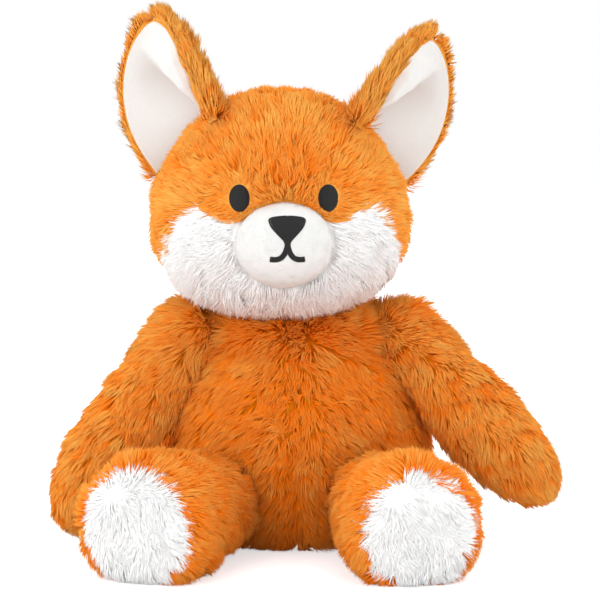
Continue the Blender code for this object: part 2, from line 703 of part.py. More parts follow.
def build_tail(torso, place):
    """The tail's two side panels, its white tip and its stuffing. It wags about an upright axis."""
    frame = frame_empty("tail_root", place)
    axis = place.to_3x3().inverted() @ Vector((0, 0, 1))
    angles = (-TAIL_RANGE, -TAIL_RANGE / 2, 0, TAIL_RANGE / 2, TAIL_RANGE)
    cutters = [host_cutter("tail", torso, place.inverted(), frame, axis, angles, TAIL_ROOT)]
    form = pressed_flat(sphere_form(LIMB_SIDES, LIMB_ROWS, tail_shape), place)
    seam = TAIL_REACH * TAIL_TIP_SHARE
    for side, sign in SIDES.items():
        across = (place.to_3x3() @ Vector((1, 0, 0))).x * sign
        half = {"x_low": GAP / 2} if across > 0 else {"x_high": -GAP / 2}
        keep = half_space(f"keep_tail_{side}", frame, z_high=seam - GAP / 2, **half)
        cover_panel(f"tail_{side}", form, frame, FINISH["orange"], keep, cutters)
    keep = half_space("keep_tail_tip", frame, z_low=seam + GAP / 2)
    cover_panel("tail_tip", form, frame, FINISH["white"], keep)
    coarse = pressed_flat(coarse_form(tail_shape), place)
    filling("tail_stuffing", coarse, frame, cutters)


def build_fox():
    torso = sphere_form(BODY_SIDES, BODY_ROWS, torso_shape)
    head = sphere_form(BODY_SIDES, BODY_ROWS, head_shape)
    muzzle = sphere_form(LIMB_SIDES, LIMB_ROWS, muzzle_shape)
    arms = {side: arm_place(side) for side in SIDES}
    legs = {side: leg_place(side, torso) for side in SIDES}
    tail = tail_place(torso)
    sockets = {"tail": socket("socket_tail", TAIL_ROOT, tail.translation)}
    for side in SIDES:
        sockets[f"arm_{side}"] = socket(f"socket_arm_{side}", ARM_ROOT, arms[side].translation)
        sockets[f"leg_{side}"] = socket(f"socket_leg_{side}", LEG_ROOT, legs[side].translation)
    build_torso(torso, sockets)
    build_head(head, muzzle)
    for side in SIDES:
        build_ear(side, head)
        build_arm(side, torso, arms[side])
        build_leg(side, torso, legs[side])
    build_tail(torso, tail)


clear_scene()
FOX = collection("plush_fox")
CUTTERS = collection("cutters")
FINISH = {
    "orange": material("orange_fur", ORANGE, 0.85),
    "deep": material("deep_orange_fur", DEEP_ORANGE, 0.88),
    "white": material("white_fur", WHITE, 0.85),
    "warm": material("short_white_plush", WARM_WHITE, 0.8),
    "black": material("black_thread", BLACK, 0.5),
    "fibre": material("fibre_stuffing", FIBRE, 0.95),
    "pellet": material("pellet_bag", PELLET, 0.7),
}
NECK = frame_empty("neck", Matrix.Translation((0, 0, NECK_Z)))
HEAD_PLACE = Matrix.Translation((HEAD_ASIDE, 0, 0)) @ Matrix.Rotation(HEAD_TURN, 4, "Z")
HEAD = frame_empty("head", HEAD_PLACE, NECK)
build_fox()
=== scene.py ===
"""The outside of a seated plush fox: fur fabric covers, velour, embroidery, a studio and a camera.

Metres, +Z up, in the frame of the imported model. The fox looks along -Y and its own left is +X. Each
cover starts from the same form as its solid, is filled by a cloth simulation, is cut clear of its
neighbours, and is split at its seams into panels, from which the pile grows.
"""

import json
import math

import bmesh
import bpy
import numpy as np
from bpy.props import FloatProperty, FloatVectorProperty, PointerProperty
from bpy.types import Operator, Panel, PropertyGroup
from mathutils import Matrix, Vector
from mathutils.bvhtree import BVHTree
from mathutils.kdtree import KDTree


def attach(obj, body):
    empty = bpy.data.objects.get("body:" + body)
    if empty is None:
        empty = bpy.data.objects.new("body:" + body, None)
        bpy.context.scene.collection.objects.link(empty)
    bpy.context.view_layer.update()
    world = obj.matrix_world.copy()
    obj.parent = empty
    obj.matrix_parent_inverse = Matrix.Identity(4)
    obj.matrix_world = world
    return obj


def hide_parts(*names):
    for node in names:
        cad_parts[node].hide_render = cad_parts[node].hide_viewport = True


bl_info = {
    "name": "Seated plush fox",
    "version": (1, 0, 0),
    "blender": (4, 5, 0),
    "location": "3D View > Sidebar > Fox",
    "description": "Dresses a seated plush fox in fur, velour and embroidery, and sets up its studio",
    "category": "Object",
}

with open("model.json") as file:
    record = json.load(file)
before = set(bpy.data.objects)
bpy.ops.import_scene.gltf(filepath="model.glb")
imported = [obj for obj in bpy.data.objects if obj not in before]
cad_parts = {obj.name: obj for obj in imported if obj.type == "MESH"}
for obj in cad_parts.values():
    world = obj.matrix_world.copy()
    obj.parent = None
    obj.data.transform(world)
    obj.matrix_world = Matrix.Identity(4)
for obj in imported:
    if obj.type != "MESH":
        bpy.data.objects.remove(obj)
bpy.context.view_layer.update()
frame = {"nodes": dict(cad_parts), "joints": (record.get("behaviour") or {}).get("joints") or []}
JOINTS = {joint["name"]: joint for joint in frame["joints"]}

MM = 0.001
SIDES = {"left": 1, "right": -1}
PILE_MAP = "OFBake"
ORANGE = ("orange_ground", "orange_fur")
WHITE = ("white_ground", "white_fur")
SKIN, WALL, PARTING = range(3)

# How closely pieces lie, and how covers are made

GAP = 0.3 * MM
SEAM_GAP = 0.05 * MM
SEAM_WIDTH = 4.5 * MM
CLEARANCE = 1.2 * MM
ROOT_PLAY = 0.6 * MM
PRESSED_PILE = 0.9 * MM
COVER_INSET = 1.6 * MM
SWELL_LIMIT = 5 * MM
SWELL_PLAY = 0.4 * MM
CLOTH_FRAMES = 20

# The forms, with the same sizes as the solids

TORSO = Vector((139, 114, 157)) * MM
TORSO_SINK = 16 * MM
TORSO_WIDTH_SHARES = (1.26, 1.02, 0.98, 0.84)
TORSO_DEPTH_SHARES = (1.16, 1.08, 0.98, 0.86)
BELLY_SHARES = (-0.02, -0.09, -0.02, 0.05)
SIDE_SEAM_Y = -2 * MM
SEAT_SEAM_Z = 4 * MM
NECK_Z = 122 * MM
NECK_RADIUS = 27 * MM
NECK_RISE = 17 * MM

HEAD = Vector((131, 122, 124)) * MM
HEAD_MIDDLE = Vector((0, -14, 63.5)) * MM
HEAD_WIDTH_SHARES = (1.22, 1.10, 0.96, 0.94)
HEAD_DEPTH_SHARES = (1.10, 1.00, 1.00, 0.98)
HEAD_SEAM_Y = 8 * MM
HEAD_PLACE = Matrix.Translation((-10 * MM, 0, NECK_Z)) @ Matrix.Rotation(math.radians(2.6), 4, "Z")
CHEEK_SHARES = (
    (-0.1, -0.05), (0.20, -0.05), (0.41, -0.12), (0.52, -0.05), (0.62, 0.0), (0.73, -0.06),
    (0.85, -0.22), (0.93, -0.42), (0.97, -0.62), (0.97, -1.2), (-0.1, -1.2),
)

MUZZLE = Vector((54, 46, 49)) * MM
MUZZLE_MIDDLE = HEAD_MIDDLE + Vector((0, -57, -18)) * MM
NOSE_TOP = MUZZLE_MIDDLE + Vector((1, 0, 15.5)) * MM
NOSE_WIDTH = 18.5 * MM
NOSE_HEIGHT = 23 * MM
NOSE_SHARES = (
    (0.0, 0.0), (-0.25, -0.015), (-0.46, -0.05), (-0.505, -0.11), (-0.43, -0.25), (-0.265, -0.40),
    (-0.11, -0.53), (-0.06, -0.60),
)
LIP_SHARES = ((-0.02, -0.70), (-0.08, -0.83), (-0.19, -0.93), (-0.34, -0.965), (-0.49, -0.955))
STEM_SHARES = ((0.0, -0.58), (0.0, -0.66), (0.0, -0.74), (0.0, -0.82))
EYE_WIDTH = 10.2 * MM
EYE_HEIGHT = 13.8 * MM
EYE_ASIDE = 23.2 * MM
EYE_RISE = 6 * MM
STITCH_STEPS = 6
STITCH_PITCH_SHARE = 0.85

EAR_LENGTH = 67 * MM
EAR_WIDTH = 74 * MM
EAR_ROOT = 34 * MM
EAR_LEAN = 7 * MM
EAR_PLACES = {"left": ((47, -10, 96.5), 39, 46), "right": ((-44, -10, 100.5), -27, -46)}
EAR_CUP_SHARES = (1.30, 1.10, 0.85, 0.65)
EAR_WIDTH_SHARES = (0.72, 0.95, 1.12, 1.0)
EAR_BLUNT_SHARES = (2.1, 0.52)
LINING_SHARE = 0.985
LINING_LIFT = 0.6 * MM
LINING_THICKNESS = 1.0 * MM
EAR_THICKNESS = 5 * MM
ROLL_RISE = 4.6 * MM

ARM_ROOT = 17 * MM
ARM_REACH = 120 * MM
ARM_WIDTH = 50 * MM
ARM_WIDTH_SHARES = (0.70, 0.80, 1.12, 1.30)
ARM_FLAT_SHARES = (1.0, 0.96, 0.88, 0.86)
ARM_BLUNT = 2.3
ARM_SPREAD = {"left": (44, 25), "right": (34, 8)}

LEG_ROOT = 22 * MM
LEG_REACH = 106 * MM
FOOT_WIDTH = 75 * MM
LEG_WIDTH_SHARES = (0.612, 0.70, 0.98, 1.04)
LEG_BLUNT = 5.5
LEG_SPREAD = {"left": 12, "right": 24}
LEG_RISE = -0.5
SOLE_DEPTH = 5 * MM
SOLE_RADIUS = FOOT_WIDTH * 0.38

TAIL_ROOT = 13 * MM
TAIL_REACH = 92 * MM
TAIL_WIDTH = 50 * MM
TAIL_WIDTH_SHARES = (0.52, 0.80, 1.50, 0.92)
TAIL_BLUNT = 1.9
TAIL_CLIMB = 2
TAIL_CURL = 26 * MM
TAIL_TIP_SHARE = 0.66

# The studio: each lamp's name, place and watts

LAMP_SIZE = 1.6
LAMP_TARGET = Vector((0, 0, 0.14))
LAMPS = (
    ("key_lamp", (-1.0, -1.8, 0.7), 16),
    ("fill_lamp", (1.0, -1.8, 0.2), 14.5),
    ("left_lamp", (-2.0, 0.2, 0.9), 14),
    ("right_lamp", (2.0, 0.2, 0.9), 14),
    ("top_lamp", (0.0, 0.3, 2.0), 14),
    ("back_lamp", (0.0, 2.0, 0.8), 10),
)
FLOOR_GLOW = 0.62
ROOM_LIGHT = 0.6
CAMERA_TARGET = Vector((1.6, 0, 132)) * MM
CAMERA_RISE = math.radians(5)
CAMERA_REACH = 1.5


class FoxSizes(PropertyGroup):
    """The lengths that set how thick the coat is and how it is sewn"""

    body_pile: FloatProperty(
        name="Body pile", description="Length of the fur on the torso, arms and legs",
        default=10.5 * MM, min=2 * MM, max=20 * MM, unit="LENGTH", precision=4,
    )
    head_pile: FloatProperty(
        name="Head pile", description="Length of the fur on the head",
        default=9.5 * MM, min=2 * MM, max=20 * MM, unit="LENGTH", precision=4,
    )
    ear_pile: FloatProperty(
        name="Ear pile", description="Length of the fur on the backs of the ears",
        default=8 * MM, min=2 * MM, max=15 * MM, unit="LENGTH", precision=4,
    )
    pile_spacing: FloatProperty(
        name="Pile spacing", description="Distance from one lock of the pile to the next",
        default=0.95 * MM, min=0.8 * MM, max=4 * MM, unit="LENGTH", precision=5,
    )
    lock_radius: FloatProperty(
        name="Lock radius", description="Radius of a lock of the pile where it is widest",
        default=0.34 * MM, min=0.1 * MM, max=1.5 * MM, unit="LENGTH", precision=5,
    )
    fabric: FloatProperty(
        name="Fabric", description="Thickness of the fur fabric without its pile",
        default=2 * MM, min=0.5 * MM, max=4 * MM, unit="LENGTH", precision=5,
    )
    seam_depth: FloatProperty(
        name="Seam depth", description="How deep a seam draws the cover in",
        default=1.6 * MM, min=0, max=4 * MM, unit="LENGTH", precision=5,
    )
    thread: FloatProperty(
        name="Thread", description="Thickness of the embroidery thread",
        default=0.42 * MM, min=0.2 * MM, max=1 * MM, unit="LENGTH", precision=5,
    )


class FoxColours(PropertyGroup):
    """The colours of the fabrics, as linear light"""

    fur_foot: FloatVectorProperty(
        name="Fur foot", description="Orange fur at the foot of its pile",
        default=(0.96, 0.17, 0.001), size=3, min=0, max=1, subtype="COLOR",
    )
    fur_body: FloatVectorProperty(
        name="Fur body", description="Orange fur along its pile",
        default=(0.96, 0.28, 0.005), size=3, min=0, max=1, subtype="COLOR",
    )
    fur_tip: FloatVectorProperty(
        name="Fur tip", description="Orange fur at the tips of its pile",
        default=(0.93, 0.50, 0.115), size=3, min=0, max=1, subtype="COLOR",
    )
    white_fur: FloatVectorProperty(
        name="White fur", description="White fur of the cheeks, the soles and the end of the tail",
        default=(0.995, 0.995, 0.99), size=3, min=0, max=1, subtype="COLOR",
    )
    velour: FloatVectorProperty(
        name="Velour", description="Short white plush of the muzzle and the insides of the ears",
        default=(0.77, 0.77, 0.755), size=3, min=0, max=1, subtype="COLOR",
    )
    # Painted shade: the colour that the lining of an ear is darkened to deep in its hollow.
    ear_hollow: FloatVectorProperty(
        name="Ear hollow", description="The plush deep inside the ears",
        default=(0.56, 0.49, 0.455), size=3, min=0, max=1, subtype="COLOR",
    )
    thread: FloatVectorProperty(
        name="Thread", description="Embroidery thread of the eyes, the nose and the mouth",
        default=(0.004, 0.0045, 0.004), size=3, min=0, max=1, subtype="COLOR",
    )
    floor: FloatVectorProperty(
        name="Floor", description="The floor of the studio",
        default=(0.86, 0.86, 0.86), size=3, min=0, max=1, subtype="COLOR",
    )


# Forms


def swell(shares, at):
    """A smooth curve that leaves the first share at 0, is drawn to those between, and ends at the last."""
    last = len(shares) - 1
    return sum(
        math.comb(last, i) * at**i * (1 - at) ** (last - i) * share for i, share in enumerate(shares)
    )


def clipped(value):
    return min(max(value, 0), 1)


def torso_shape(unit):
    at = (unit.z + 1) / 2
    return Vector((
        unit.x * TORSO.x / 2 * swell(TORSO_WIDTH_SHARES, at),
        unit.y * TORSO.y / 2 * swell(TORSO_DEPTH_SHARES, at) + TORSO.y * swell(BELLY_SHARES, at),
        max(TORSO.z * at - TORSO_SINK, 0),
    ))


def head_shape(unit):
    at = (unit.z + 1) / 2
    across = unit.x * HEAD.x / 2 * swell(HEAD_WIDTH_SHARES, at)
    deep = unit.y * HEAD.y / 2 * swell(HEAD_DEPTH_SHARES, at)
    return HEAD_PLACE @ (HEAD_MIDDLE + Vector((across, deep, unit.z * HEAD.z / 2)))


def muzzle_shape(unit):
    return HEAD_PLACE @ (MUZZLE_MIDDLE + unit * MUZZLE / 2)


def limb_shape(unit, root, reach, width, shares, blunt, flat_shares=(1, 1), bend=0):
    """A limb along +Z: a ball of the root radius below its pivot, swelling and rounding off above."""
    if unit.z <= 0:
        return unit * root
    along = min(unit.z, 1)
    flare = math.sqrt(max(1 - along * along, 0)) or 1
    radius = width / 2 * swell(shares, along) * (1 - along**blunt) ** (1 / blunt)
    return Vector((
        unit.x / flare * radius,
        unit.y / flare * radius * swell(flat_shares, along) + bend * along * along,
        along * reach,
    ))


def arm_shape(unit):
    return limb_shape(unit, ARM_ROOT, ARM_REACH, ARM_WIDTH, ARM_WIDTH_SHARES, ARM_BLUNT, ARM_FLAT_SHARES)


def leg_shape(unit):
    return limb_shape(unit, LEG_ROOT, LEG_REACH, FOOT_WIDTH, LEG_WIDTH_SHARES, LEG_BLUNT)


def tail_shape(unit):
    return limb_shape(
        unit, TAIL_ROOT, TAIL_REACH, TAIL_WIDTH, TAIL_WIDTH_SHARES, TAIL_BLUNT, bend=TAIL_CURL
    )


def limb_place(joint, along, across):
    """A limb's place: its origin on its joint, +Z along it, and X as near to across as it can be."""
    along = along.normalized()
    across = (across - along * across.dot(along)).normalized()
    turn = Matrix((across, along.cross(across), along)).transposed().to_4x4()
    return Matrix.Translation(JOINTS[joint]["pos_m"]) @ turn


def arm_place(side):
    sign = SIDES[side]
    spread, forward = (math.radians(angle) for angle in ARM_SPREAD[side])
    along = Vector((sign * math.sin(spread), -math.sin(forward), -math.cos(spread)))
    return limb_place(f"arm_lift_{side}", along, Vector((sign, 0, 0)))


def leg_place(side):
    spread, rise = math.radians(LEG_SPREAD[side]), math.radians(LEG_RISE)
    along = Vector((SIDES[side] * math.sin(spread), -math.cos(spread), math.tan(rise)))
    return limb_place(f"leg_lift_{side}", along, Vector((1, 0, 0)))


def tail_place():
    climb = math.radians(TAIL_CLIMB)
    return limb_place("tail_wag", Vector((0, math.cos(climb), math.sin(climb))), Vector((-1, 0, 0)))


def ear_place(side):
    """An ear's place: +Z up the ear, -Y out of its opening, X along the line it bends about."""
    at, tilt, yaw = EAR_PLACES[side]
    turn = Matrix.Rotation(math.radians(tilt), 4, "Y") @ Matrix.Rotation(math.radians(yaw), 4, "Z")
    return HEAD_PLACE @ Matrix.Translation(Vector(at) * MM) @ turn


# name: (shape, place, sides, rows)
IN_PLACE = Matrix.Identity(4)
FORMS = {
    "torso": (torso_shape, IN_PLACE, 48, 32),
    "head": (head_shape, IN_PLACE, 48, 32),
    "muzzle": (muzzle_shape, IN_PLACE, 40, 28),
    "arm_left": (arm_shape, arm_place("left"), 32, 40),
    "arm_right": (arm_shape, arm_place("right"), 32, 40),
    "leg_left": (leg_shape, leg_place("left"), 36, 40),
    "leg_right": (leg_shape, leg_place("right"), 36, 40),
    "tail": (tail_shape, tail_place(), 28, 32),
}
COVERS = {}
NEIGHBOURS = {}


def sphere_form(shape, place, sides, rows, offset=0.0):
    """A unit sphere moved to a shape, set down on the floor, and then set in or out by offset."""
    bm = bmesh.new()
    bmesh.ops.create_uvsphere(bm, u_segments=sides, v_segments=rows, radius=1)
    for vertex in bm.verts:
        vertex.co = place @ shape(vertex.co.copy())
    bmesh.ops.recalc_face_normals(bm, faces=bm.faces)
    bm.normal_update()
    moved = [vertex.co + vertex.normal * offset for vertex in bm.verts]
    for vertex, to in zip(bm.verts, moved):
        vertex.co = Vector((to.x, to.y, max(to.z, 0)))
    return finished_mesh(bm)


def finished_mesh(bm, name="form"):
    mesh = bpy.data.meshes.new(name)
    bm.to_mesh(mesh)
    bm.free()
    return mesh


def tree_of(mesh):
    bm = bmesh.new()
    bm.from_mesh(mesh)
    tree = BVHTree.FromBMesh(bm)
    bm.free()
    return tree


def helper(name, mesh):
    obj = bpy.data.objects.new(name, mesh)
    bpy.context.scene.collection.objects.link(obj)
    return obj


def applied(obj):
    """The object's mesh with its modifiers applied. The object itself is removed."""
    bpy.context.view_layer.update()
    graph = bpy.context.evaluated_depsgraph_get()
    mesh = bpy.data.meshes.new_from_object(obj.evaluated_get(graph))
    bpy.data.objects.remove(obj)
    return mesh


def even_mesh(mesh, voxel):
    obj = helper("even", mesh)
    remesh = obj.modifiers.new("even", "REMESH")
    remesh.mode = "VOXEL"
    remesh.voxel_size = voxel
    return applied(obj)


def smoothed(mesh):
    obj = helper("smooth", mesh)
    finer = obj.modifiers.new("finer", "SUBSURF")
    finer.levels = finer.render_levels = 1
    return applied(obj)


def thickened(mesh, thickness, offset):
    obj = helper("thick", mesh)
    wall = obj.modifiers.new("fabric", "SOLIDIFY")
    wall.thickness = thickness
    wall.offset = offset
    return applied(obj)


def blow_up(covers):
    """Runs the cloth simulation of all the covers at once, up to its last frame."""
    for obj in covers:
        cloth = obj.modifiers.new("stuffing", "CLOTH").settings
        cloth.quality = 6
        cloth.mass = 0.25
        cloth.use_pressure = True
        cloth.uniform_pressure_force = 4
        cloth.effector_weights.gravity = 0
    for step in range(1, CLOTH_FRAMES + 1):
        bpy.context.scene.frame_set(step)


def held_to_form(obj, tree):
    """A filled cover's mesh, held within a small play of its form, and clear of the floor."""
    start = [vertex.co.copy() for vertex in obj.data.vertices]
    mesh = applied(obj)
    for vertex, before in zip(mesh.vertices, start):
        moved = vertex.co - before
        if moved.length > SWELL_LIMIT:
            vertex.co = before + moved.normalized() * SWELL_LIMIT
        near, normal, _, _ = tree.find_nearest(vertex.co)
        out = (vertex.co - near).dot(normal)
        vertex.co = near + normal * min(max(out, -CLEARANCE), SWELL_PLAY)
    mesh = smoothed(mesh)
    for vertex in mesh.vertices:
        vertex.co.z = max(vertex.co.z, PRESSED_PILE)
    return mesh


def fill_covers():
    """Fills every cover with cloth pressure, and keeps each with a search tree and a box of it."""
    filled = {}
    for name, form in FORMS.items():
        voxel = 6 * MM if name in ("torso", "head") else 5 * MM
        filled[name] = helper(f"filling_{name}", even_mesh(sphere_form(*form, -COVER_INSET), voxel))
    blow_up(filled.values())
    for name, obj in filled.items():
        mesh = held_to_form(obj, tree_of(sphere_form(*FORMS[name])))
        places = rows_of(mesh.vertices, "co", 3)
        COVERS[name] = mesh
        NEIGHBOURS[name] = (places.min(0), places.max(0), tree_of(mesh))
    bpy.context.scene.frame_set(1)


# Cutting and sewing


def bitten(obj, cutters, operation="DIFFERENCE"):
    """An object's mesh after a Boolean with each cutter in turn. The object itself is removed."""
    others = [helper("cutter", cutter) for cutter in cutters]
    for other in others:
        cut = obj.modifiers.new("cut", "BOOLEAN")
        cut.operation = operation
        cut.object = other
    mesh = applied(obj)
    for other in others:
        bpy.data.objects.remove(other)
    return mesh


def carved(mesh, *cutters, parting=()):
    """A closed form with closed cutters bitten out of it. Their walls stay, marked as walls, and carry
    no pile, but the walls of the parting cutters are left out."""
    finishes = [bpy.data.materials.new(name) for name in ("skin", "wall", "parting")]
    mesh = mesh.copy()
    for body, sort in ((mesh, SKIN), *((cut, WALL) for cut in cutters), *((cut, PARTING) for cut in parting)):
        body.materials.clear()
        for finish in finishes:
            body.materials.append(finish)
        body.polygons.foreach_set("material_index", [sort] * len(body.polygons))
    bm = bmesh.new()
    bm.from_mesh(bitten(helper("carved", mesh), (*cutters, *parting)))
    ends = [face for face in bm.faces if face.material_index == PARTING]
    bmesh.ops.delete(bm, geom=ends, context="FACES")
    bmesh.ops.dissolve_degenerate(bm, dist=0.02 * MM, edges=bm.edges)
    skin = finished_mesh(bm, "skin")
    for finish in finishes[:PARTING]:
        skin.materials.append(finish)
    return skin


def joined(meshes, operation="UNION"):
    """Closed meshes made one by a Boolean."""
    return bitten(helper("joined", meshes[0]), meshes[1:], operation)


def ball(radius, centre):
    bm = bmesh.new()
    bmesh.ops.create_uvsphere(bm, u_segments=32, v_segments=20, radius=radius)
    bmesh.ops.translate(bm, verts=bm.verts, vec=centre)
    return finished_mesh(bm, "ball")


def host_cutter(host, joint, root, steps):
    """What a limb is cut clear of: its host, turned back about the joint to where it stands at each
    of the joint's angles, and hollowed for the limb's round root."""
    shape, place, _, _ = FORMS[host]
    pivot, axis = Vector(JOINTS[joint]["pos_m"]), Vector(JOINTS[joint]["axis"])
    low, high = JOINTS[joint]["range_deg"]
    hosts = []
    for step in range(steps):
        angle = math.radians(low + (high - low) * step / (steps - 1))
        back = Matrix.Translation(pivot) @ Matrix.Rotation(-angle, 4, axis) @ Matrix.Translation(-pivot)
        turned = sphere_form(shape, place, 24, 16, CLEARANCE)
        turned.transform(back)
        hosts.append(turned)
    union = joined(hosts)
    return joined([union, ball(root + ROOT_PLAY, pivot)], "DIFFERENCE") if root else union


def drawn_in(mesh, distance_to_seam, depth):
    """Draws a skin in along its seams. distance_to_seam takes a point."""
    normals = [vertex.normal.copy() for vertex in mesh.vertices]
    for vertex, normal in zip(mesh.vertices, normals):
        near = distance_to_seam(vertex.co)
        if near < 3 * SEAM_WIDTH:
            vertex.co -= normal * depth * math.exp(-((near / SEAM_WIDTH) ** 2))
            vertex.co.z = max(vertex.co.z, PRESSED_PILE)
    return mesh


def plane(axis, at, sign):
    """The side of a plane to keep up to at, on the low side where sign is 1 and the high side where -1."""
    point, normal = [0, 0, 0], [0, 0, 0]
    point["xyz".index(axis)] = at - sign * SEAM_GAP / 2
    normal["xyz".index(axis)] = sign
    return point, normal


def panel_skin(skin, place, keeps):
    """The part of a skin on the near side of every plane, each given as a point and an outward normal."""
    bm = bmesh.new()
    bm.from_mesh(skin)
    turn = place.to_3x3()
    for point, normal in keeps:
        bmesh.ops.bisect_plane(
            bm,
            geom=[*bm.verts, *bm.edges, *bm.faces],
            dist=0.001 * MM,
            plane_co=place @ Vector(point),
            plane_no=turn @ Vector(normal),
            clear_outer=True,
        )
    return finished_mesh(bm, "panel")


def finished_piece(name, mesh, finish):
    """A mesh in one smooth finish, as an object of its own."""
    mesh.name = name
    mesh.polygons.foreach_set("material_index", [0] * len(mesh.polygons))
    mesh.materials.clear()
    mesh.materials.append(finish)
    mesh.shade_smooth()
    return helper(name, mesh)


def belong(obj, body, nodes=()):
    """Gives a piece its body, and hides the solids that it stands for."""
    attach(obj, body)
    if nodes:
        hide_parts(*nodes)


def sewn_panel(name, skin, body, finish, nodes, thickness):
    """A panel of fabric with its thickness, riding on its body in place of its solids."""
    obj = finished_piece(f"{name}_cover", thickened(skin.copy(), thickness, -1), finish)
    belong(obj, body, nodes)


def fur_panel(given, name, skin, body, coat, clear_of=(), inner=(), looks=ORANGE):
    """A panel of fur fabric, in place of its own solid and the inner ones, and the pile on it."""
    sizes, finish = given
    ground, fur = looks
    sewn_panel(name, skin, body, finish[ground], [name, *inner], sizes.fabric)
    grow_pile(f"{name}_pile", skin, body, finish[fur], coat, clear_of)


# Pile


def rows_of(items, name, width=1, kind=float):
    """One value, or one row of them, for each of a mesh's items."""
    values = np.empty(len(items) * width, kind)
    items.foreach_get(name, values)
    return values.reshape(-1, width) if width > 1 else values


def scattered(mesh, spacing, seed):
    """Points spread evenly over a skin, at most one to a cell of a lattice, and the skin's normals there."""
    rng = np.random.default_rng(seed)
    mesh.calc_loop_triangles()
    normals = rows_of(mesh.vertex_normals, "vector", 3)
    corners = rows_of(mesh.loop_triangles, "vertices", 3, int)
    ends = rows_of(mesh.vertices, "co", 3)[corners]
    areas = np.linalg.norm(np.cross(ends[:, 1] - ends[:, 0], ends[:, 2] - ends[:, 0]), axis=1) / 2
    sorts = rows_of(mesh.polygons, "material_index", kind=int)
    areas[sorts[rows_of(mesh.loop_triangles, "polygon_index", kind=int)] != SKIN] = 0
    count = int(areas.sum() / spacing**2 * 5)
    pick = rng.choice(len(corners), count, p=areas / areas.sum())
    a, b = rng.random((2, count))
    fold = a + b > 1
    a[fold], b[fold] = 1 - a[fold], 1 - b[fold]
    weights = np.stack([1 - a - b, a, b], 1)[:, :, None]
    points = (ends[pick] * weights).sum(1)
    ways = (normals[corners[pick]] * weights).sum(1)
    cells = np.floor(points / spacing).astype(int)
    _, first = np.unique(cells, axis=0, return_index=True)
    return points[first], unit_rows(ways[first])


def unit_rows(rows):
    return rows / np.maximum(np.linalg.norm(rows, axis=1, keepdims=True), 1e-9)


def nearest_of(points, seeds):
    """For each point, the number of the seed nearest to it."""
    tree = KDTree(len(seeds))
    for count, seed in enumerate(seeds):
        tree.insert(seed, count)
    tree.balance()
    return np.array([tree.find(point)[1] for point in points])


def group_means(values, groups, count):
    sums = np.stack([np.bincount(groups, values[:, axis], count) for axis in range(3)], 1)
    return sums / np.maximum(np.bincount(groups, minlength=count), 1)[:, None]


def inside(points, other, play=0.0):
    """Which points lie in the filled cover of that name, or within play of it."""
    low, high, tree = NEIGHBOURS[other]
    found = np.zeros(len(points), bool)
    near = np.all((points > low - play) & (points < high + play), axis=1)
    for index in np.flatnonzero(near):
        at, normal, _, _ = tree.find_nearest(points[index])
        found[index] = (Vector(points[index]) - at).dot(normal) < play
    return found


def turned_rows(rows, axes, angles):
    """Rows turned about unit axes at right angles to them."""
    sines, cosines = np.sin(angles)[:, None], np.cos(angles)[:, None]
    return rows * cosines + np.cross(axes, rows) * sines


def locks_of(points, normals, coat, rng):
    """Foot, knee and tip of each lock of the pile, and how pale it is."""
    count = len(points)
    flow = coat["flow"](points, normals)
    flow = unit_rows(flow - normals * (flow * normals).sum(1)[:, None])
    tufts = points[rng.random(count) < (coat["spacing"] / coat["tuft"]) ** 2]
    wisps = points[rng.random(count) < (coat["spacing"] / coat["wisp"]) ** 2]
    tuft, wisp = nearest_of(points, tufts), nearest_of(points, wisps)
    stray = math.radians(coat["stray"])
    swing = rng.normal(0, stray, len(tufts))[tuft] + rng.normal(0, stray / 2, len(wisps))[wisp]
    swing += rng.normal(0, stray / 2, count)
    swing += rng.normal(0, 1, len(wisps))[wisp] * np.radians(coat["tangle"](points))
    flow = turned_rows(flow, normals, swing)
    length = coat["length"](points) * (1 + rng.normal(0, 0.10, count) + rng.normal(0, 0.07, len(tufts))[tuft])
    rise = rng.normal(0, 7, len(tufts))[tuft] + rng.normal(0, 5, count) + coat["more_lift"](points)
    low, high = (np.radians(np.clip(lift + rise, 6, 88))[:, None] for lift in coat["lifts"])
    sink = 0.9 * MM
    foot = points - normals * sink
    half = length[:, None] / 2
    knee = foot + (flow * np.cos(low) + normals * np.sin(low)) * half
    tip = knee + (flow * np.cos(high) + normals * np.sin(high)) * half
    for groups, seeds, pull in ((tuft, tufts, coat["tuft_pull"]), (wisp, wisps, coat["wisp_pull"])):
        held = pull * (0.6 + 0.5 * rng.random(count))[:, None]
        tip += (group_means(tip, groups, len(seeds))[groups] - tip) * held
        knee += (group_means(knee, groups, len(seeds))[groups] - knee) * held * 0.4
    pale = 0.5 + rng.normal(0, 0.14, len(tufts))[tuft] + rng.normal(0, 0.12, len(wisps))[wisp]
    pale += rng.normal(0, 0.07, count) + coat["shade"](points)
    return foot, knee, tip, np.clip(pale, 0, 0.999)


def lock_template():
    """A closed lock of unit height, pointed at both ends and widest at its knee: its points and faces."""
    bm = bmesh.new()
    bmesh.ops.create_uvsphere(bm, u_segments=3, v_segments=2, radius=1)
    bmesh.ops.rotate(bm, verts=bm.verts, cent=(0, 0, 0), matrix=Matrix.Rotation(math.radians(90), 3, "Z"))
    bm.verts.index_update()
    points = np.array([vertex.co for vertex in bm.verts])
    faces = [[vertex.index for vertex in face.verts] for face in bm.faces]
    bm.free()
    return points, faces


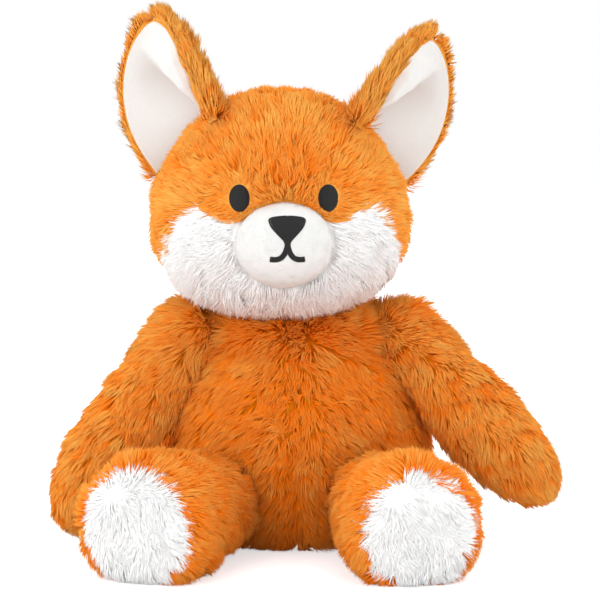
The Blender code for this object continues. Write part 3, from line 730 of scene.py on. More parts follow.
def lock_mesh(name, foot, knee, tip, normals, pale, radius, twist):
    """Every lock of a coat as one mesh. Its map holds how pale a lock is, and how far up it a point is."""
    points, faces = lock_template()
    count, size = len(foot), len(points)
    spine = np.stack([foot, knee, tip], 1)
    level = np.round(points[:, 2]).astype(int) + 1
    lean = unit_rows(tip - foot)
    across = unit_rows(np.cross(lean, normals) + 1e-6)
    across = turned_rows(across, lean, twist)
    over = np.cross(lean, across)
    ring = points * (level == 1)[:, None]
    rings = ring[:, 0][None, :, None] * across[:, None] + ring[:, 1][None, :, None] * over[:, None]
    places = spine[:, level] + rings * radius[:, None, None]
    places[:, :, 2] = np.maximum(places[:, :, 2], 0.1 * MM)

    corner = np.concatenate(faces)
    under = np.concatenate([[points[face, 1].max() > 0.5] * len(face) for face in faces])
    facing = rings[:, corner] * np.where(under, 0.7, 0.4)[None, :, None]
    facing += normals[:, None] * np.where(under, 0.2, 1.0)[None, :, None]
    facing += lean[:, None] * np.array((-0.1, 0.0, 0.2))[level[corner]][None, :, None]
    starts = np.cumsum([0] + [len(face) for face in faces])
    loops = (corner[None] + np.arange(count)[:, None] * size).ravel()
    begins = (starts[:-1][None] + np.arange(count)[:, None] * len(corner)).ravel()
    mesh = bpy.data.meshes.new(name)
    mesh.vertices.add(count * size)
    mesh.vertices.foreach_set("co", places.reshape(-1))
    mesh.loops.add(len(loops))
    mesh.loops.foreach_set("vertex_index", loops)
    mesh.polygons.add(len(begins))
    mesh.polygons.foreach_set("loop_start", begins)
    mesh.update(calc_edges=True)
    chart = mesh.uv_layers.new(name=PILE_MAP)
    columns = 48
    around = np.where(level == 1, 0.5 + 0.4 * points[:, 0], 0.5)
    u = (np.floor(pale * columns)[:, None] + around[None]) / columns
    v = np.broadcast_to(np.array((0.02, 0.5, 0.98))[level], u.shape)
    chart.data.foreach_set("uv", np.stack([u, v], 2).reshape(-1, 2)[loops].reshape(-1))
    mesh.shade_smooth()
    mesh.normals_split_custom_set(unit_rows(facing.reshape(-1, 3)))
    return mesh


def kept(stay, *columns):
    return [column[stay] for column in columns]


def press_flat(pressed, points, normals, knee, tip):
    """Lays the pressed locks down on the skin."""
    for spine, rise in ((knee, 0.55 * MM), (tip, 0.3 * MM)):
        ways = spine[pressed] - points[pressed]
        over = (ways * normals[pressed]).sum(1)[:, None] - rise
        spine[pressed] = points[pressed] + (ways - normals[pressed] * over) * 0.8


def grow_pile(name, skin, body, finish, coat, clear_of=()):
    """Grows a coat of pile on a skin. Locks that would run into a neighbour lie down, or are left out."""
    rng = np.random.default_rng(coat["seed"])
    points, normals = scattered(skin, coat["spacing"], coat["seed"])
    points, normals = kept(~coat["bare"](points), points, normals)
    foot, knee, tip, pale = locks_of(points, normals, coat, rng)
    pressed = (points[:, 2] < PRESSED_PILE + 0.6 * MM) & (normals[:, 2] < -0.6)
    for other in coat["pressed_by"]:
        pressed |= inside(points, other)
    press_flat(pressed, points, normals, knee, tip)
    if "uncovered" in coat:
        stay = ~coat["uncovered"](tip) | (rng.random(len(tip)) < 0.08)
        points, normals, foot, knee, tip, pale, pressed = kept(
            stay, points, normals, foot, knee, tip, pale, pressed
        )
    for other in clear_of:
        for spine in (knee, tip):
            for index in np.flatnonzero(inside(spine, other, GAP) & ~pressed):
                at, normal, _, _ = NEIGHBOURS[other][2].find_nearest(spine[index])
                spine[index] = at + normal * 0.3 * MM
        reach = np.linalg.norm(tip - foot, axis=1)
        hidden = inside(points, other) | (reach > 1.4 * coat["length"](points))
        points, normals, foot, knee, tip, pale, pressed = kept(
            pressed | ~hidden, points, normals, foot, knee, tip, pale, pressed
        )
    radius = coat["radius"] * (1 + rng.normal(0, 0.15, len(foot)))
    twist = rng.normal(0, math.radians(22), len(foot))
    mesh = lock_mesh(name, foot, knee, tip, normals, pale, radius, twist)
    mesh.materials.append(finish)
    belong(helper(name, mesh), body)


def coat_of(sizes, flow, length, seed, **changes):
    """How a coat of pile lies. Lengths in metres, lifts and strays in degrees."""
    coat = {
        "flow": flow,
        "length": length if callable(length) else lambda points: np.full(len(points), length),
        "lifts": (40, 18),
        "spacing": sizes.pile_spacing,
        "radius": sizes.lock_radius,
        "tuft": 8 * MM,
        "wisp": 2.6 * MM,
        "tuft_pull": 0.12,
        "wisp_pull": 0.32,
        "stray": 14,
        "shade": lambda points: 0,
        "more_lift": lambda points: 0,
        "tangle": lambda points: 0,
        "bare": lambda points: np.zeros(len(points), bool),
        "pressed_by": (),
        "seed": seed,
    }
    coat.update(changes)
    return coat


def local_rows(points, place):
    back = np.array(place.inverted())
    return points @ back[:3, :3].T + back[:3, 3]


def world_ways(rows, place):
    return rows @ np.array(place)[:3, :3].T


def torso_flow(points, normals):
    """Down, and away from the middle seam, where the pile parts."""
    aside = 0.45 * np.tanh(points[:, 0] / (5 * MM)) + 0.35 * np.tanh(points[:, 0] / (40 * MM))
    aside *= np.clip((128 * MM - points[:, 2]) / (30 * MM), 0.2, 1)
    return np.stack([aside, np.zeros(len(points)), -np.ones(len(points))], 1)


def belly_tone_and_painted_shade(points):
    """A deeper tone all over the torso, and painted shade along the middle seam and in the belly's crease."""
    x, z = points[:, 0], points[:, 2]
    # Painted shade: darker pile along the middle seam and in the crease across the belly.
    seam = np.exp(-((x / (4 * MM)) ** 2))
    crease = np.exp(-(((z - 84 * MM) / (5 * MM)) ** 2)) * np.exp(-((x / (35 * MM)) ** 2))
    return -0.26 - 0.26 * seam - 0.24 * crease


def belly_tangle(points):
    """The pile is rubbed every way in the middle of the belly, between its creases."""
    rise = (points[:, 2] - 76 * MM) / (26 * MM)
    return 38 * np.exp(-(rise * rise) - (points[:, 0] / (17 * MM)) ** 2)


def at_root(points, joint, reach):
    """How close points are to a limb's joint: 1 on it, 0 from reach off."""
    return np.clip(1 - np.linalg.norm(points - np.array(JOINTS[joint]["pos_m"]), axis=1) / reach, 0, 1)


def at_shoulder(points):
    return np.maximum(*(at_root(points, f"arm_lift_{side}", 34 * MM) for side in SIDES))


def at_neck(points):
    """How close points of the torso are to the neck seam."""
    return np.clip((points[:, 2] - 106 * MM) / (10 * MM), 0, 1)


def shoulder_lift(points):
    """The pile stands up round the neck and the arms, and fills what they leave between them."""
    return 36 * at_neck(points) + 60 * at_shoulder(points)


def head_rows(points):
    """Points in the head's own directions, from its middle."""
    return local_rows(points, HEAD_PLACE) - np.array(HEAD_MIDDLE)


def head_flow(points, normals):
    """Away from the nose all over the head, falling a little at its sides and back."""
    rows = head_rows(points)
    source = np.array((0, -64, -10)) * MM
    ways = unit_rows(rows - source)
    low = np.clip(0.5 - rows[:, 2] / (80 * MM), 0, 1)
    ways[:, 2] -= 0.35 * low
    for sign in SIDES.values():
        away = rows - np.array((sign * EYE_ASIDE, -55 * MM, EYE_RISE))
        away[:, 1] = 0
        reach = np.linalg.norm(away, axis=1) / (EYE_HEIGHT / 2)
        ways += unit_rows(away) * (1.5 * np.exp(-((reach / 1.5) ** 2)) * (rows[:, 1] < 0))[:, None]
    ways[:, 2] -= 1.2 * np.clip(rows[:, 1] / (40 * MM), 0, 1)
    return world_ways(ways, HEAD_PLACE)


def along_flow(place, fall=0.0, flare=0.0):
    """Along a limb to its end, with a fall towards the floor and a flare away from its middle line."""

    def flow(points, normals):
        rows = local_rows(points, place)
        out = rows.copy()
        out[:, 2] = 0
        ways = unit_rows(out) * flare
        ways[:, 2] += 1
        ways = world_ways(ways, place)
        ways[:, 2] -= fall
        return ways

    return flow


def arm_flow(place, sign):
    """Along the arm, and off the neck over the shoulder."""
    along = along_flow(place, fall=0.25, flare=0.1)
    aside = np.array((1.4 * sign, -0.5, 0.4))
    return lambda points, normals: along(points, normals) + at_shoulder(points)[:, None] * aside


def foot_flow(place):
    """Back from the sole, and down round the leg."""
    back = world_ways(np.array([(0.0, 0.0, -1.0)]), place) + np.array((0, 0, -0.7))
    return lambda points, normals: back


def sole_flow(place):
    """Down over the sole, wavering a little, and out over its rim."""

    def flow(points, normals):
        rows = local_rows(points, place)
        x, y = rows[:, 0] / (9 * MM), rows[:, 1] / (9 * MM)
        ways = np.stack([np.sin(x + 2.1 * np.sin(y)), np.sin(1.3 * y + 1.7 * np.sin(x)), 0 * x], 1)
        out = rows / SOLE_RADIUS
        out[:, 2] = 0
        reach = np.linalg.norm(out, axis=1, keepdims=True)
        sweep = np.array((0.3, -0.9, 0))
        return world_ways(ways * 0.3 + sweep + out * np.clip(reach - 0.6, 0, 1) * 9, place)

    return flow


def sole_reach(points, place):
    """How far out on a sole points are: 0 in its middle, 1 from near its rim on."""
    rows = local_rows(points, place) / SOLE_RADIUS
    return np.clip(np.hypot(rows[:, 0], rows[:, 1]), 0, 1)


def eye_reach(points):
    """How far a point on the face is from the nearer eye, where 1 is the eye's edge."""
    rows = head_rows(points)
    aside = (np.abs(rows[:, 0]) - EYE_ASIDE) / (EYE_WIDTH / 2)
    rise = (rows[:, 2] - EYE_RISE) / (EYE_HEIGHT / 2)
    return np.where(rows[:, 1] < 0, np.hypot(aside, rise), 9)


# Finishes


def node_group(name, inputs, outputs):
    tree = bpy.data.node_groups.new(name, "ShaderNodeTree")
    for kind, label, default in inputs:
        socket = tree.interface.new_socket(label, in_out="INPUT", socket_type=f"NodeSocket{kind}")
        if default is not None:
            socket.default_value = default
    for kind, label in outputs:
        tree.interface.new_socket(label, in_out="OUTPUT", socket_type=f"NodeSocket{kind}")
    return tree, tree.nodes.new("NodeGroupInput"), tree.nodes.new("NodeGroupOutput")


def ramp_node(tree, stops, source):
    ramp = tree.nodes.new("ShaderNodeValToRGB")
    elements = ramp.color_ramp.elements
    for (at, value), element in zip(stops, [elements[0], elements[1]]):
        element.position, element.color = at, (value, value, value, 1)
    for at, value in stops[2:]:
        elements.new(at).color = (value, value, value, 1)
    tree.links.new(source, ramp.inputs["Fac"])
    return ramp.outputs["Color"]


def mix_colours(tree, factor, first, second, blend="MIX"):
    mix = tree.nodes.new("ShaderNodeMix")
    mix.data_type = "RGBA"
    mix.blend_type = blend
    for socket, value in ((mix.inputs["Factor"], factor), (mix.inputs[6], first), (mix.inputs[7], second)):
        if isinstance(value, bpy.types.NodeSocket):
            tree.links.new(value, socket)
        else:
            socket.default_value = value
    return mix.outputs[2]


def lock_colour_group():
    """The colour along a lock of pile, from its map: u is how pale it is, v how far up it a point is."""
    inputs = (
        ("Vector", "Lock map", None),
        ("Color", "Foot", (0.5, 0.1, 0.01, 1)),
        ("Color", "Body", (0.8, 0.25, 0.02, 1)),
        ("Color", "Tip", (0.9, 0.4, 0.08, 1)),
        ("Float", "Contrast", 0.5),
    )
    tree, given, out = node_group("Lock colour", inputs, (("Color", "Colour"),))
    split = tree.nodes.new("ShaderNodeSeparateXYZ")
    tree.links.new(given.outputs["Lock map"], split.inputs[0])
    foot_mask = ramp_node(tree, ((0.0, 0.0), (0.55, 1.0)), split.outputs["Y"])
    tip_mask = ramp_node(tree, ((0.45, 0.0), (1.0, 1.0)), split.outputs["Y"])
    pale_mask = ramp_node(tree, ((0.15, 0.0), (0.95, 1.0)), split.outputs["X"])
    body = mix_colours(tree, foot_mask, given.outputs["Foot"], given.outputs["Body"])
    body = mix_colours(tree, tip_mask, body, given.outputs["Tip"])
    dark = mix_colours(tree, 0.7, body, given.outputs["Foot"])
    light = mix_colours(tree, 0.6, body, given.outputs["Tip"])
    varied = mix_colours(tree, pale_mask, dark, light)
    tree.links.new(mix_colours(tree, given.outputs["Contrast"], body, varied), out.inputs["Colour"])
    return tree


def nap_group():
    """A short nap: a mottled mask and a bump, from the piece's own place."""
    inputs = (
        ("Vector", "Place", None),
        ("Float", "Nap scale", 900.0),
        ("Float", "Cloud scale", 60.0),
        ("Float", "Bump", 0.3),
    )
    tree, given, out = node_group("Nap", inputs, (("Float", "Mottle"), ("Vector", "Normal")))
    nap = tree.nodes.new("ShaderNodeTexNoise")
    nap.inputs["Detail"].default_value = 3
    cloud = tree.nodes.new("ShaderNodeTexNoise")
    cloud.inputs["Detail"].default_value = 2
    for noise, scale in ((nap, "Nap scale"), (cloud, "Cloud scale")):
        tree.links.new(given.outputs["Place"], noise.inputs["Vector"])
        tree.links.new(given.outputs[scale], noise.inputs["Scale"])
    both = tree.nodes.new("ShaderNodeMix")
    both.inputs["Factor"].default_value = 0.45
    tree.links.new(nap.outputs["Fac"], both.inputs[2])
    tree.links.new(cloud.outputs["Fac"], both.inputs[3])
    bump = tree.nodes.new("ShaderNodeBump")
    bump.inputs["Distance"].default_value = 0.4 * MM
    tree.links.new(given.outputs["Bump"], bump.inputs["Strength"])
    tree.links.new(nap.outputs["Fac"], bump.inputs["Height"])
    tree.links.new(both.outputs[0], out.inputs["Mottle"])
    tree.links.new(bump.outputs["Normal"], out.inputs["Normal"])
    return tree


def shared_group(name, make):
    return bpy.data.node_groups.get(name) or make()


def put(node, values):
    """Sets some of a node's sockets, by their names."""
    for label, value in values.items():
        node.inputs[label].default_value = value


def blank_material(name, roughness, sheen=0.0, specular=0.3):
    made = bpy.data.materials.new(name)
    made.use_nodes = True
    shader = made.node_tree.nodes["Principled BSDF"]
    put(shader, {"Roughness": roughness, "Specular IOR Level": specular})
    put(shader, {"Sheen Weight": sheen, "Sheen Roughness": 0.5})
    return made, made.node_tree, shader


def scaled(colour, share):
    return tuple(part * share for part in colour)


def solid(colour):
    return (*(min(part, 1) for part in colour), 1)


def fur_material(name, foot, body, tip, contrast):
    if name in bpy.data.materials:
        return bpy.data.materials[name]
    made, tree, shader = blank_material(name, 0.9, specular=0)
    lock = tree.nodes.new("ShaderNodeGroup")
    lock.node_tree = shared_group("Lock colour", lock_colour_group)
    chart = tree.nodes.new("ShaderNodeUVMap")
    chart.uv_map = PILE_MAP
    tree.links.new(chart.outputs["UV"], lock.inputs["Lock map"])
    put(lock, {"Foot": solid(foot), "Body": solid(body), "Tip": solid(tip), "Contrast": contrast})
    tree.links.new(lock.outputs["Colour"], shader.inputs["Base Color"])
    return made


def nap_material(name, dark, light, nap_scale, cloud_scale, bump, sheen=0.1, specular=0.2):
    if name in bpy.data.materials:
        return bpy.data.materials[name]
    made, tree, shader = blank_material(name, 0.85, sheen=sheen, specular=specular)
    nap = tree.nodes.new("ShaderNodeGroup")
    nap.node_tree = shared_group("Nap", nap_group)
    place = tree.nodes.new("ShaderNodeTexCoord")
    tree.links.new(place.outputs["Object"], nap.inputs["Place"])
    put(nap, {"Nap scale": nap_scale, "Cloud scale": cloud_scale, "Bump": bump})
    mask = ramp_node(tree, ((0.35, 0.0), (0.65, 1.0)), nap.outputs["Mottle"])
    tree.links.new(mix_colours(tree, mask, solid(dark), solid(light)), shader.inputs["Base Color"])
    tree.links.new(nap.outputs["Normal"], shader.inputs["Normal"])
    return made


def ear_material_with_painted_shade(name, rim, hollow):
    """Short plush, with painted shade that makes it dimmer and a little pink in the hollow of the ear."""
    if name in bpy.data.materials:
        return bpy.data.materials[name]
    made = nap_material(name, scaled(rim, 0.97), rim, 1100, 45, 0.35)
    tree = made.node_tree
    # Painted shade: the depth attribute mixes the velour towards the darker, pinker hollow colour.
    depth = tree.nodes.new("ShaderNodeAttribute")
    depth.attribute_name = "depth"
    shader = tree.nodes["Principled BSDF"]
    pale = shader.inputs["Base Color"].links[0].from_socket
    tree.links.new(mix_colours(tree, depth.outputs["Fac"], pale, solid(hollow)), shader.inputs["Base Color"])
    return made


def finishes(colours):
    """Every finish by name, made once."""
    names = ("fur_foot", "fur_body", "fur_tip", "white_fur", "velour", "ear_hollow", "thread")
    foot, body, tip, white, velour, hollow, thread = (tuple(getattr(colours, name)) for name in names)
    dim = scaled(white, 0.97)
    ground = {"nap_scale": 700, "cloud_scale": 90, "bump": 0.6, "sheen": 0}
    orange = {**ground, "specular": 0.05}
    return {
        "orange_fur": fur_material("orange_pile", foot, body, tip, 0.85),
        "white_fur": fur_material("white_pile", dim, white, white, 0.5),
        "orange_ground": nap_material("orange_ground", scaled(body, 0.65), scaled(body, 0.8), **orange),
        "pale_ground": nap_material("pale_ground", scaled(body, 0.8), scaled(tip, 0.9), **orange),
        "white_ground": nap_material("white_ground", dim, white, **ground),
        "velour": nap_material("white_velour", scaled(velour, 0.94), velour, 1100, 45, 0.35),
        # The ear's lining carries painted shade in its hollow.
        "ear_velour": ear_material_with_painted_shade("ear_velour", velour, hollow),
        "velour_pile": fur_material("velour_pile", scaled(velour, 0.92), velour, velour, 0.4),
        "thread": nap_material("black_thread", thread, scaled(thread, 1.6), 2600, 300, 0.3, 0, 0),
        "fibre": nap_material("fibre_wadding", (0.7, 0.7, 0.68), (0.85, 0.85, 0.83), 500, 60, 0.8),
    }


# Torso


def socket(joint, root):
    """Room in the torso for the round root of a limb."""
    return ball(root + CLEARANCE, Vector(JOINTS[joint]["pos_m"]))


def torso_seam(at):
    """Distance from a point of the torso to its nearest seam. The side seams draw in less."""
    return min(abs(at.x), abs(at.y - SIDE_SEAM_Y) + 3 * MM)


def make_torso(sizes, looks):
    """Two front panels, two back panels and the seat, and the plug in the neck."""
    given = sizes, looks
    sockets = [socket("tail_wag", TAIL_ROOT)]
    for side in SIDES:
        sockets += [socket(f"arm_lift_{side}", ARM_ROOT), socket(f"leg_lift_{side}", LEG_ROOT)]
    skin = carved(COVERS["torso"], *sockets, host_cutter("head", "head_turn", 0, 5))
    skin = drawn_in(skin, torso_seam, sizes.seam_depth)
    limbs = ["arm_left", "arm_right", "leg_left", "leg_right", "tail"]

    def length(points):
        return sizes.body_pile * (1 + 0.5 * at_shoulder(points) + 0.4 * at_neck(points))

    for side, sign in SIDES.items():
        for half, ahead in (("front", 1), ("back", -1)):
            name = f"torso_{half}_{side}"
            keeps = [plane("x", 0, -sign), plane("y", SIDE_SEAM_Y, ahead), plane("z", SEAT_SEAM_Z, -1)]
            cut = panel_skin(skin, IN_PLACE, keeps)
            coat = coat_of(
                sizes, torso_flow, length, seed=11 + sign + 5 * (half == "back"), lifts=(34, 14),
                shade=belly_tone_and_painted_shade, more_lift=shoulder_lift, tangle=belly_tangle, pressed_by=limbs,
            )
            inner = ["torso_stuffing", "pellet_pouch"] if name == "torso_front_left" else []
            fur_panel(given, name, cut, "torso", coat, [*limbs, "head"], inner)
    seat = panel_skin(skin, IN_PLACE, [plane("z", SEAT_SEAM_Z, 1)])
    coat = coat_of(sizes, torso_flow, sizes.body_pile * 0.5, seed=31, lifts=(20, 6), spacing=1.8 * MM)
    fur_panel(given, "seat_panel", seat, "torso", coat, [*limbs, "head"])
    make_neck(looks)


def make_neck(looks):
    """The round plug that fills the neck seam, turned about the upright axis of the head's joint."""
    bm = bmesh.new()
    outline = ((0.0, 0.0), (1.0, 0.0), (1.0, 0.4), (0.93, 0.68), (0.72, 0.88), (0.4, 0.98), (0.0, 1.0))
    points = [bm.verts.new(Vector((out * NECK_RADIUS, 0, NECK_Z + up * NECK_RISE))) for out, up in outline]
    edges = [bm.edges.new(pair) for pair in zip(points, points[1:])]
    bmesh.ops.spin(
        bm, geom=[*points, *edges], cent=(0, 0, 0), axis=(0, 0, 1), angle=math.tau, steps=48, use_merge=True
    )
    bmesh.ops.remove_doubles(bm, verts=bm.verts, dist=0.01 * MM)
    bmesh.ops.recalc_face_normals(bm, faces=bm.faces)
    obj = finished_piece("neck_wadding", finished_mesh(bm), looks["fibre"])
    belong(obj, "torso", ["neck_stuffing"])


# Head


def neck_hollow():
    bm = bmesh.new()
    bmesh.ops.create_cone(
        bm, cap_ends=True, segments=48, radius1=NECK_RADIUS + GAP, radius2=NECK_RADIUS * 0.8,
        depth=2 * NECK_RISE, matrix=Matrix.Translation((0, 0, NECK_Z)),
    )
    return finished_mesh(bm, "neck_hollow")


CHEEK_LINE = [Vector((x * HEAD.x / 2, z * HEAD.z / 2)) for x, z in CHEEK_SHARES]
CHEEK_SEAM = CHEEK_LINE[:9]


def cheek_outline(sign, wider):
    """The seam round a cheek in the head's own x and z, moved out by wider."""
    moved = []
    line = CHEEK_LINE
    for before, place, after in zip([line[-1], *line], line, [*line[1:], line[0]]):
        way = (after - before).normalized()
        place = place + Vector((-way.y, way.x)) * wider
        moved.append(Vector((sign * place.x, 0, place.y)) + HEAD_MIDDLE)
    return moved


def cheek_prism(sign, wider):
    """A prism through the face whose edge is the seam of a white cheek."""
    bm = bmesh.new()
    back = Vector((0, HEAD_SEAM_Y - HEAD_MIDDLE.y, 0))
    ring = [bm.verts.new(HEAD_PLACE @ (place + back)) for place in cheek_outline(sign, wider)]
    pulled = bmesh.ops.extrude_face_region(bm, geom=[bm.faces.new(ring)])["geom"]
    moved = [item for item in pulled if isinstance(item, bmesh.types.BMVert)]
    ahead = HEAD_PLACE.to_3x3() @ Vector((0, -1, 0))
    bmesh.ops.translate(bm, verts=moved, vec=ahead * HEAD.y * 2)
    bmesh.ops.recalc_face_normals(bm, faces=bm.faces)
    return finished_mesh(bm, "cheek")


def head_block():
    """A block round the whole head, half a metre wide."""
    bm = bmesh.new()
    bmesh.ops.create_cube(bm, size=0.5)
    bmesh.ops.translate(bm, vec=HEAD_PLACE @ HEAD_MIDDLE, verts=bm.verts)
    return finished_mesh(bm, "block")


def head_seam(at):
    """Distance from a point of the head to its nearest seam."""
    spot = HEAD_PLACE.inverted() @ at
    near = abs(spot.y - HEAD_SEAM_Y)
    if spot.y > HEAD_SEAM_Y:
        return near
    near = min(near, abs(spot.x))
    flat = Vector((abs(spot.x), spot.z - HEAD_MIDDLE.z))
    for one, other in zip(CHEEK_SEAM, CHEEK_SEAM[1:]):
        way = other - one
        share = clipped((flat - one).dot(way) / way.length_squared)
        near = min(near, (flat - one - way * share).length)
    return near


def make_head(sizes, looks):
    """Two orange face panels, two white cheeks and the back of the head."""
    given = sizes, looks
    depth = sizes.seam_depth * 0.8
    whole = drawn_in(COVERS["head"].copy(), head_seam, depth)
    others = ["muzzle", "torso", "arm_left", "arm_right"]

    def length(points):
        return sizes.head_pile * np.clip(0.4 + 0.4 * (eye_reach(points) - 1), 0.4, 1)

    for side, sign in SIDES.items():
        keeps = [plane("y", HEAD_SEAM_Y, 1), plane("x", 0, -sign)]
        brow = carved(whole, neck_hollow(), parting=[cheek_prism(sign, SEAM_GAP / 2)])
        brow = panel_skin(brow, HEAD_PLACE, keeps)
        coat = coat_of(
            sizes, head_flow, length, seed=41 + sign, lifts=(38, 17), bare=lambda at: eye_reach(at) < 1.0,
            uncovered=lambda at: eye_reach(at) < 0.97, shade=between_eyes, tangle=brow_tangle,
            more_lift=face_lift,
        )
        inner = ["head_stuffing"] if side == "left" else []
        pale = ("pale_ground", "orange_fur")
        fur_panel(given, f"forehead_{side}", brow, "head", coat, others, inner, pale)

        outside = joined([head_block(), cheek_prism(sign, -SEAM_GAP / 2)], "DIFFERENCE")
        cheek = panel_skin(carved(whole, neck_hollow(), parting=[outside]), HEAD_PLACE, keeps)
        coat = coat_of(
            sizes, head_flow, sizes.head_pile * 1.12, seed=47 + sign, lifts=(30, 12), wisp_pull=0.12,
            tuft_pull=0.05, spacing=sizes.pile_spacing * 0.8, radius=sizes.lock_radius * 0.95,
        )
        fur_panel(given, f"cheek_{side}", cheek, "head", coat, others, (), WHITE)
    skin = drawn_in(carved(COVERS["head"], neck_hollow()), head_seam, depth)
    back = panel_skin(skin, HEAD_PLACE, [plane("y", HEAD_SEAM_Y, -1)])
    coat = coat_of(sizes, head_flow, length, seed=53, lifts=(42, 20))
    fur_panel(given, "head_back", back, "head", coat, others)


def between_eyes(points):
    """The pile is deeper in colour between the eyes, over the muzzle."""
    rows = head_rows(points)
    spot = np.hypot(rows[:, 0] / (13 * MM), (rows[:, 2] - 21 * MM) / (12 * MM))
    return 0.12 - 0.5 * np.exp(-spot * spot) * (rows[:, 1] < 0)


def face_lift(points):
    """The pile stands up where it meets the muzzle and the eyes."""
    tree = NEIGHBOURS["muzzle"][2]
    gaps = np.array([tree.find_nearest(point)[3] for point in points])
    return 42 * np.clip(1 - gaps / (7 * MM), 0, 1) + 24 * np.clip(1.8 - eye_reach(points), 0, 1)


def brow_tangle(points):
    """The pile is rubbed every way between the eyes."""
    rows = head_rows(points)
    spot = np.hypot(rows[:, 0] / (16 * MM), (rows[:, 2] - 20 * MM) / (15 * MM))
    return 45 * np.exp(-spot * spot)


# Muzzle and embroidery


def make_muzzle(sizes, looks):
    """The domed muzzle of short plush, cut where it sits on the face."""
    skin = carved(COVERS["muzzle"], sphere_form(*FORMS["head"], 1.0 * MM))
    nodes = ["muzzle_cover", "muzzle_stuffing"]
    sewn_panel("muzzle_cover", skin, "head", looks["velour"], nodes, 1.4 * MM)
    nose = np.array(HEAD_PLACE @ NOSE_TOP)
    coat = coat_of(
        sizes, lambda points, normals: points - nose, 1.5 * MM, seed=61, lifts=(55, 40),
        spacing=0.72 * MM, radius=0.2 * MM, tuft=3 * MM, wisp=1.4 * MM, wisp_pull=0.15,
        bare=near_stitches, stray=25,
    )
    grow_pile("muzzle_pile", skin, "head", looks["velour_pile"], coat)


def near_stitches(points):
    """Which points of the muzzle lie under the nose or the mouth."""
    rows = local_rows(points, HEAD_PLACE) - np.array(NOSE_TOP)
    across, down = rows[:, 0] / NOSE_WIDTH, rows[:, 2] / NOSE_HEIGHT
    sides, levels = np.array(NOSE_SHARES[1:]).T
    half = np.interp(-down, -levels, -sides)
    found = (down < 0.03) & (down > -0.66) & (np.abs(across) < half + 0.05)
    for x, z in (*STEM_SHARES, *LIP_SHARES):
        for sign in SIDES.values():
            gap = np.hypot((across - sign * x) * NOSE_WIDTH, (down - z) * NOSE_HEIGHT)
            found |= gap < 1.6 * MM
    return found


def on_surface(tree, at, lift):
    """A point of the head's x and z cast back on to a surface from before it, and lifted off it."""
    ahead = HEAD_PLACE @ Vector((at.x, -0.3, at.z))
    back = HEAD_PLACE.to_3x3() @ Vector((0, 1, 0))
    hit, normal, _, _ = tree.ray_cast(ahead, back)
    if hit is None:
        raise RuntimeError("an embroidery point misses the surface under it")
    return hit + normal * lift


def stitch_into(bm, tree, one, other, radius, crown):
    """One stitch of thread between two points of the head's x and z, bowed off the surface."""
    spine = []
    for share in (step / STITCH_STEPS for step in range(STITCH_STEPS + 1)):
        lift = radius * 0.3 + crown * math.sin(math.pi * share)
        spine.append(on_surface(tree, one.lerp(other, share), lift))
    tube_into(bm, spine, radius, 6)


def level_stitch(bm, tree, middle, half, rise, radius, crown):
    """A stitch straight across, at a rise from the middle, unless it would be no wider than its thread."""
    if half > radius:
        ends = (middle + Vector((side, 0, rise)) for side in (-half, half))
        stitch_into(bm, tree, *ends, radius, crown)


def tube_into(bm, spine, radius, sides):
    """A closed round tube along a spine, made by pulling a ring of points from one place to the next."""
    ends = [spine[0], *spine, spine[-1]]
    ring = None
    for count, centre in enumerate(spine):
        way = (ends[count + 2] - ends[count]).normalized()
        turn = way.to_track_quat("Z", "Y").to_matrix().to_4x4()
        size = radius * (0.75 if count in (0, len(spine) - 1) else 1)
        made = bmesh.ops.create_circle(
            bm, cap_ends=False, segments=sides, radius=size, matrix=Matrix.Translation(centre) @ turn
        )["verts"]
        edges = {edge for vertex in made for edge in vertex.link_edges}
        if ring is None:
            bmesh.ops.contextual_create(bm, geom=list(edges))
        else:
            bmesh.ops.bridge_loops(bm, edges=[*ring, *edges])
        ring = edges
    bmesh.ops.contextual_create(bm, geom=list(ring))


def embroidery(name, bm, looks):
    bmesh.ops.recalc_face_normals(bm, faces=bm.faces)
    obj = finished_piece(f"{name}_stitches", finished_mesh(bm), looks["thread"])
    belong(obj, "head", [name])


def nose_line(shares, sign=1):
    """Points of the nose or the mouth in real sizes, from the middle of its top."""
    return [Vector((sign * x * NOSE_WIDTH, 0, z * NOSE_HEIGHT)) for x, z in shares]


def make_nose(sizes, looks):
    """The nose in level satin stitches with a cord round it, and the mouth in stitches across its line."""
    tree = tree_of(COVERS["muzzle"])
    bm = bmesh.new()
    pitch, radius = sizes.thread * STITCH_PITCH_SHARE, sizes.thread / 2
    left = nose_line(NOSE_SHARES)
    edge = smooth_line(left, pitch / 2)
    levels = [-place.z for place in edge]
    halves = [-place.x for place in edge]
    for row in range(1, int(levels[-1] / pitch)):
        half = float(np.interp(row * pitch, levels, halves)) + radius * 1.7
        level_stitch(bm, tree, NOSE_TOP, half, -row * pitch, radius, 0.35 * MM)
    rim = [*left, *reversed(nose_line(NOSE_SHARES, -1))]
    cord_into(bm, tree, [NOSE_TOP + place for place in rim], radius * 1.7)
    lips = ((nose_line(LIP_SHARES, -sign), 3.3 * MM) for sign in SIDES.values())
    for line, width in ((nose_line(STEM_SHARES), 3.6 * MM), *lips):
        satin_into(bm, tree, [NOSE_TOP + place for place in line], width, pitch, radius)
    embroidery("nose_and_mouth", bm, looks)


def smooth_line(points, pitch):
    """Points a pitch apart along a smooth curve through some others."""
    dense = []
    padded = [points[0] * 2 - points[1], *points, points[-1] * 2 - points[-2]]
    for a, b, c, d in zip(padded, padded[1:], padded[2:], padded[3:]):
        for step in range(12):
            t = step / 12
            bend = (a * 2 - b * 5 + c * 4 - d) * t**2 + (b * 3 - a - c * 3 + d) * t**3
            dense.append((b * 2 + (c - a) * t + bend) / 2)
    dense.append(points[-1])
    spaced, left = [dense[0]], pitch
    for one, other in zip(dense, dense[1:]):
        gap = (other - one).length
        while gap >= left > 0:
            one = one.lerp(other, left / gap)
            spaced.append(one)
            gap, left = (other - one).length, pitch
        left -= gap
    return spaced


